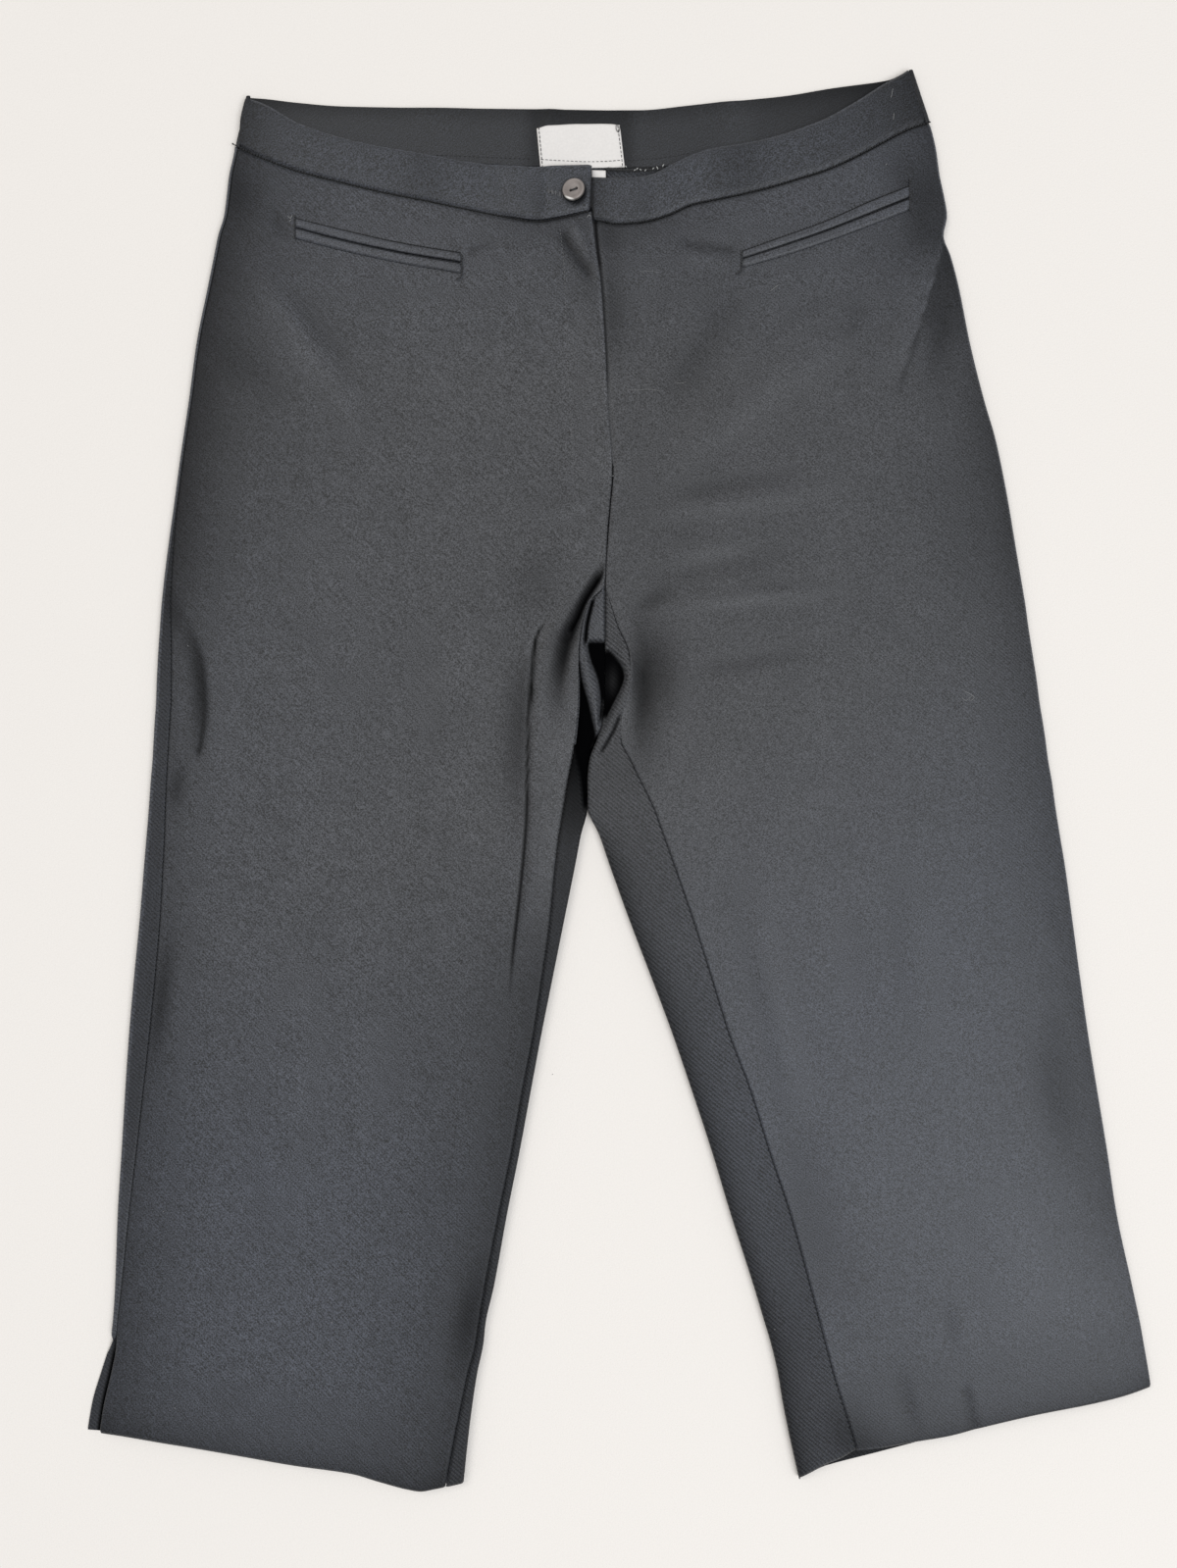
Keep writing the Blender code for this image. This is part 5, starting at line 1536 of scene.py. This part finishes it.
class TROUSERS_OT_band_sewing(bpy.types.Operator):
    """Sew the inside of the back waistband"""

    bl_idname = "trousers.band_sewing"
    bl_label = "Waistband sewing"

    def execute(self, context):
        upper = ((-120.0, 383.2), (-90.0, 382.0), (-52.0, 380.4))
        upper_left = ((6.0, 379.8), (27.0, 381.2), (46.0, 384.6))
        lower = ((-110.0, 376.6), (-84.0, 375.0), (-52.0, 374.2))
        runs = []
        for path in (upper, upper_left, lower):
            runs += stitch_runs(path, flat_height(BAND_WALL), 1.8, 1.0, 0.3, 0.05)
        x = np.linspace(-10.0, 40.0, 12)
        runs.append((np.column_stack([x, band_back_seam(x), 0.9 + 0.0 * x]), 0.5))
        for seam, height_at, low, high in ((band_right_seam, right_height, -236.0, -18.0),
                                           (band_left_seam, left_height, -13.0, 193.0)):
            x = np.linspace(low, high, 60)
            runs += stitch_runs(np.column_stack([x, seam(x)]), height_at, 1.4, 0.45, 0.42, 0.5)
        sew("band_stitches", runs, thread_finish("thread_band", SEAM_BLACK))
        overlock = []
        for k in range(OVERLOCK_LOOPS):
            t = k / (OVERLOCK_LOOPS - 1)
            y = 373.4 - 0.9 * math.sin(math.pi * t) + 0.4 * t
            lean = (1.0 if k % 2 else -1.0) * (0.9 + 0.4 * math.sin(k * 1.9))
            overlock.append((leaning(mix(-6.6, 26.8, t), y, lean, 2.9, 3.3), 0.6))
        flecks = [(leaning(x, y, lean, 3.9, 4.2), 0.33) for x, y, lean in OVERLOCK_FLECKS]
        sew("overlock_edge", overlock, thread_finish("thread_overlock", (0.004, 0.004, 0.005)))
        sew("overlock_flecks", flecks, thread_finish("thread_white", (0.6, 0.6, 0.58)))
        return {"FINISHED"}


class TROUSERS_OT_button(bpy.types.Operator):
    """Turn the button, drill it and sew it on"""

    bl_idname = "trousers.button"
    bl_label = "Button"

    def execute(self, context):
        trim = context.scene.trousers_trim
        radius = trim.button_width / MM / 2.0
        profile = ((0.0, 0.58), (0.45, 0.6), (0.6, 0.68), (0.7, 0.84), (0.8, 0.97), (0.88, 1.0),
                   (0.95, 0.9), (0.99, 0.7), (1.0, 0.48), (0.97, 0.24), (0.9, 0.06), (0.78, 0.0),
                   (0.0, 0.0))
        shape = bmesh.new()
        ring = [shape.verts.new((r * radius * MM, 0.0, z * BUTTON_THICKNESS * MM))
                for r, z in profile]
        edges = [shape.edges.new(pair) for pair in zip(ring, ring[1:])]
        bmesh.ops.spin(shape, geom=ring + edges, cent=(0, 0, 0), axis=(0, 0, 1),
                       angle=math.tau, steps=72)
        bmesh.ops.remove_doubles(shape, verts=shape.verts, dist=0.00001)
        bmesh.ops.recalc_face_normals(shape, faces=shape.faces)
        finish = pearl_finish("button_pearl", trim.button)
        button = place("pearl_button", mesh_of("pearl_button", shape), finish)
        for side in (-1, 1):
            shape = bmesh.new()
            bmesh.ops.create_cone(shape, cap_ends=True, segments=24, depth=12.0 * MM,
                                  radius1=HOLE_DIAMETER / 2 * MM, radius2=HOLE_DIAMETER / 2 * MM)
            bmesh.ops.translate(shape, verts=shape.verts,
                                vec=(side * HOLE_SPACING / 2 * MM, 0.0, 0.0))
            drill = place("button_drill", mesh_of("button_drill", shape), finish)
            cut = button.modifiers.new("Hole", "BOOLEAN")
            cut.operation = "DIFFERENCE"
            cut.solver = "EXACT"
            cut.object = drill
            context.view_layer.update()
            shaped = button.evaluated_get(context.evaluated_depsgraph_get())
            drilled = bpy.data.meshes.new_from_object(shaped)
            button.modifiers.clear()
            button.data = drilled
            bpy.data.objects.remove(drill)
        button.data.shade_smooth()
        button.data.set_sharp_from_angle(angle=math.radians(40.0))
        x, y = BUTTON_CENTRE
        base = right_band_height(np.array([x]), np.array([y]))[0] + 1.2
        button.rotation_euler = [math.radians(a) for a in BUTTON_TILT]
        button.location = (x * MM, y * MM, base * MM)
        settle_in(button, "button", "button_pearl")
        turn = math.radians(BUTTON_TILT[2])
        runs = []
        for shift in (-0.3, 0.3):
            line = []
            for t in np.linspace(-1.0, 1.0, 9):
                along = t * HOLE_SPACING / 2
                px = x + along * math.cos(turn) - shift * math.sin(turn)
                py = y + along * math.sin(turn) + shift * math.cos(turn)
                rise = (py - y) * math.sin(math.radians(BUTTON_TILT[0]))
                rise -= (px - x) * math.sin(math.radians(BUTTON_TILT[1]))
                line.append((px, py, base + rise + 1.9 - 1.6 * t ** 6))
            runs.append((line, 0.28))
        sew("button_thread", runs, thread_finish("thread_button", trim.thread),
            8)
        return {"FINISHED"}


class TROUSERS_OT_lint(bpy.types.Operator):
    """Lay the few fibres and thread ends that cling to the cloth"""

    bl_idname = "trousers.lint"
    bl_label = "Lint"

    def execute(self, context):
        runs = []
        for k, (x, y) in enumerate(np.reshape(SPECKS, (-1, 2))):
            height_at = right_height if x < 0.0 else left_height
            lean = 0.5 * math.cos(k * 1.7)
            ends = np.array([(x - 0.35, y - lean), (x, y), (x + 0.35, y + lean)])
            z = height_at(ends[:, 0], ends[:, 1]) + 0.15
            runs.append((np.column_stack([ends, z]), 0.24))
        surfaces = {"left": left_height, "right": right_height, "left_band": left_band_height}
        for surface, radius, *points in MARKS:
            path = rounded(points, steps=4)
            z = surfaces[surface](path[:, 0], path[:, 1]) + radius
            runs.append((np.column_stack([path, z]), radius))
        sew("lint", runs, thread_finish("thread_lint", (0.28, 0.28, 0.28)),
            5)
        return {"FINISHED"}


class TROUSERS_OT_stage(bpy.types.Operator):
    """Set the pale floor, the soft lights and the camera"""

    bl_idname = "trousers.stage"
    bl_label = "Stage"

    def execute(self, context):
        scene = context.scene
        settings = scene.trousers_stage
        shape = bmesh.new()
        bmesh.ops.create_grid(shape, x_segments=8, y_segments=8, size=4.0)
        floor = place("floor", mesh_of("floor", shape), stage_finish(settings.floor))
        floor.location = (0.0, 0.0, -0.0002)
        lights = (
            ("key_light", (2.1, -1.7, 4.0), 3.6, settings.key, (0.94, 0.97, 1.0)),
            ("side_light", (-2.6, 2.2, 3.8), 3.0, settings.side, (1.0, 0.985, 0.95)),
        )
        for name, spot, size, power, colour in lights:
            lamp = bpy.data.lights.new(name, "AREA")
            lamp.shape = "DISK"
            lamp.size = size
            lamp.energy = power
            lamp.color = colour
            holder = bpy.data.objects.new(name, lamp)
            holder.location = spot
            aim = Vector((0.0, 0.0, 0.0)) - Vector(spot)
            holder.rotation_euler = aim.to_track_quat("-Z", "Y").to_euler()
            scene.collection.objects.link(holder)
        room = bpy.data.worlds.new("room")
        room.use_nodes = True
        glow = room.node_tree.nodes["Background"]
        glow.inputs["Color"].default_value = (0.985, 0.99, 1.0, 1.0)
        glow.inputs["Strength"].default_value = settings.sky
        scene.world = room
        lens = bpy.data.cameras.new("camera")
        lens.sensor_fit = "VERTICAL"
        lens.sensor_height = 36.0
        lens.lens = lens.sensor_height / 2.0 / (HALF_VIEW / CLOTH_DISTANCE)
        lens.clip_start = 0.05
        lens.clip_end = 50.0
        camera = bpy.data.objects.new("camera", lens)
        camera.location = (*CAMERA_PLACE, settings.camera_height)
        scene.collection.objects.link(camera)
        scene.camera = camera
        scene.view_settings.view_transform = "Standard"
        scene.view_settings.look = "None"
        return {"FINISHED"}


class TROUSERS_PT_panel(bpy.types.Panel):
    """Lists the settings and the steps"""

    bl_idname = "TROUSERS_PT_panel"
    bl_label = "Cropped trousers"
    bl_space_type = "VIEW_3D"
    bl_region_type = "UI"
    bl_category = "Trousers"

    def draw(self, context):
        scene = context.scene
        for group in (scene.trousers_cloth, scene.trousers_trim, scene.trousers_stage):
            column = self.layout.column()
            for key in group.__annotations__:
                column.prop(group, key)
        for step in STEPS:
            self.layout.operator(step.bl_idname)


GROUPS = (ClothSettings, TrimSettings, StageSettings)
STEPS = (TROUSERS_OT_fronts, TROUSERS_OT_backs, TROUSERS_OT_waistband, TROUSERS_OT_welts,
         TROUSERS_OT_fly, TROUSERS_OT_labels, TROUSERS_OT_band_sewing, TROUSERS_OT_button,
         TROUSERS_OT_lint, TROUSERS_OT_stage)


def register():
    for made in GROUPS + STEPS + (TROUSERS_PT_panel,):
        bpy.utils.register_class(made)
    bpy.types.Scene.trousers_cloth = PointerProperty(type=ClothSettings)
    bpy.types.Scene.trousers_trim = PointerProperty(type=TrimSettings)
    bpy.types.Scene.trousers_stage = PointerProperty(type=StageSettings)


def unregister():
    del bpy.types.Scene.trousers_cloth
    del bpy.types.Scene.trousers_trim
    del bpy.types.Scene.trousers_stage
    for made in (TROUSERS_PT_panel,) + STEPS[::-1] + GROUPS[::-1]:
        bpy.utils.unregister_class(made)


def main():
    register()
    bpy.ops.trousers.stage()
    bpy.ops.trousers.fronts()
    bpy.ops.trousers.backs()
    bpy.ops.trousers.waistband()
    bpy.ops.trousers.welts()
    bpy.ops.trousers.fly()
    bpy.ops.trousers.labels()
    bpy.ops.trousers.band_sewing()
    bpy.ops.trousers.button()
    bpy.ops.trousers.lint()


if __name__ == "__main__":
    main()
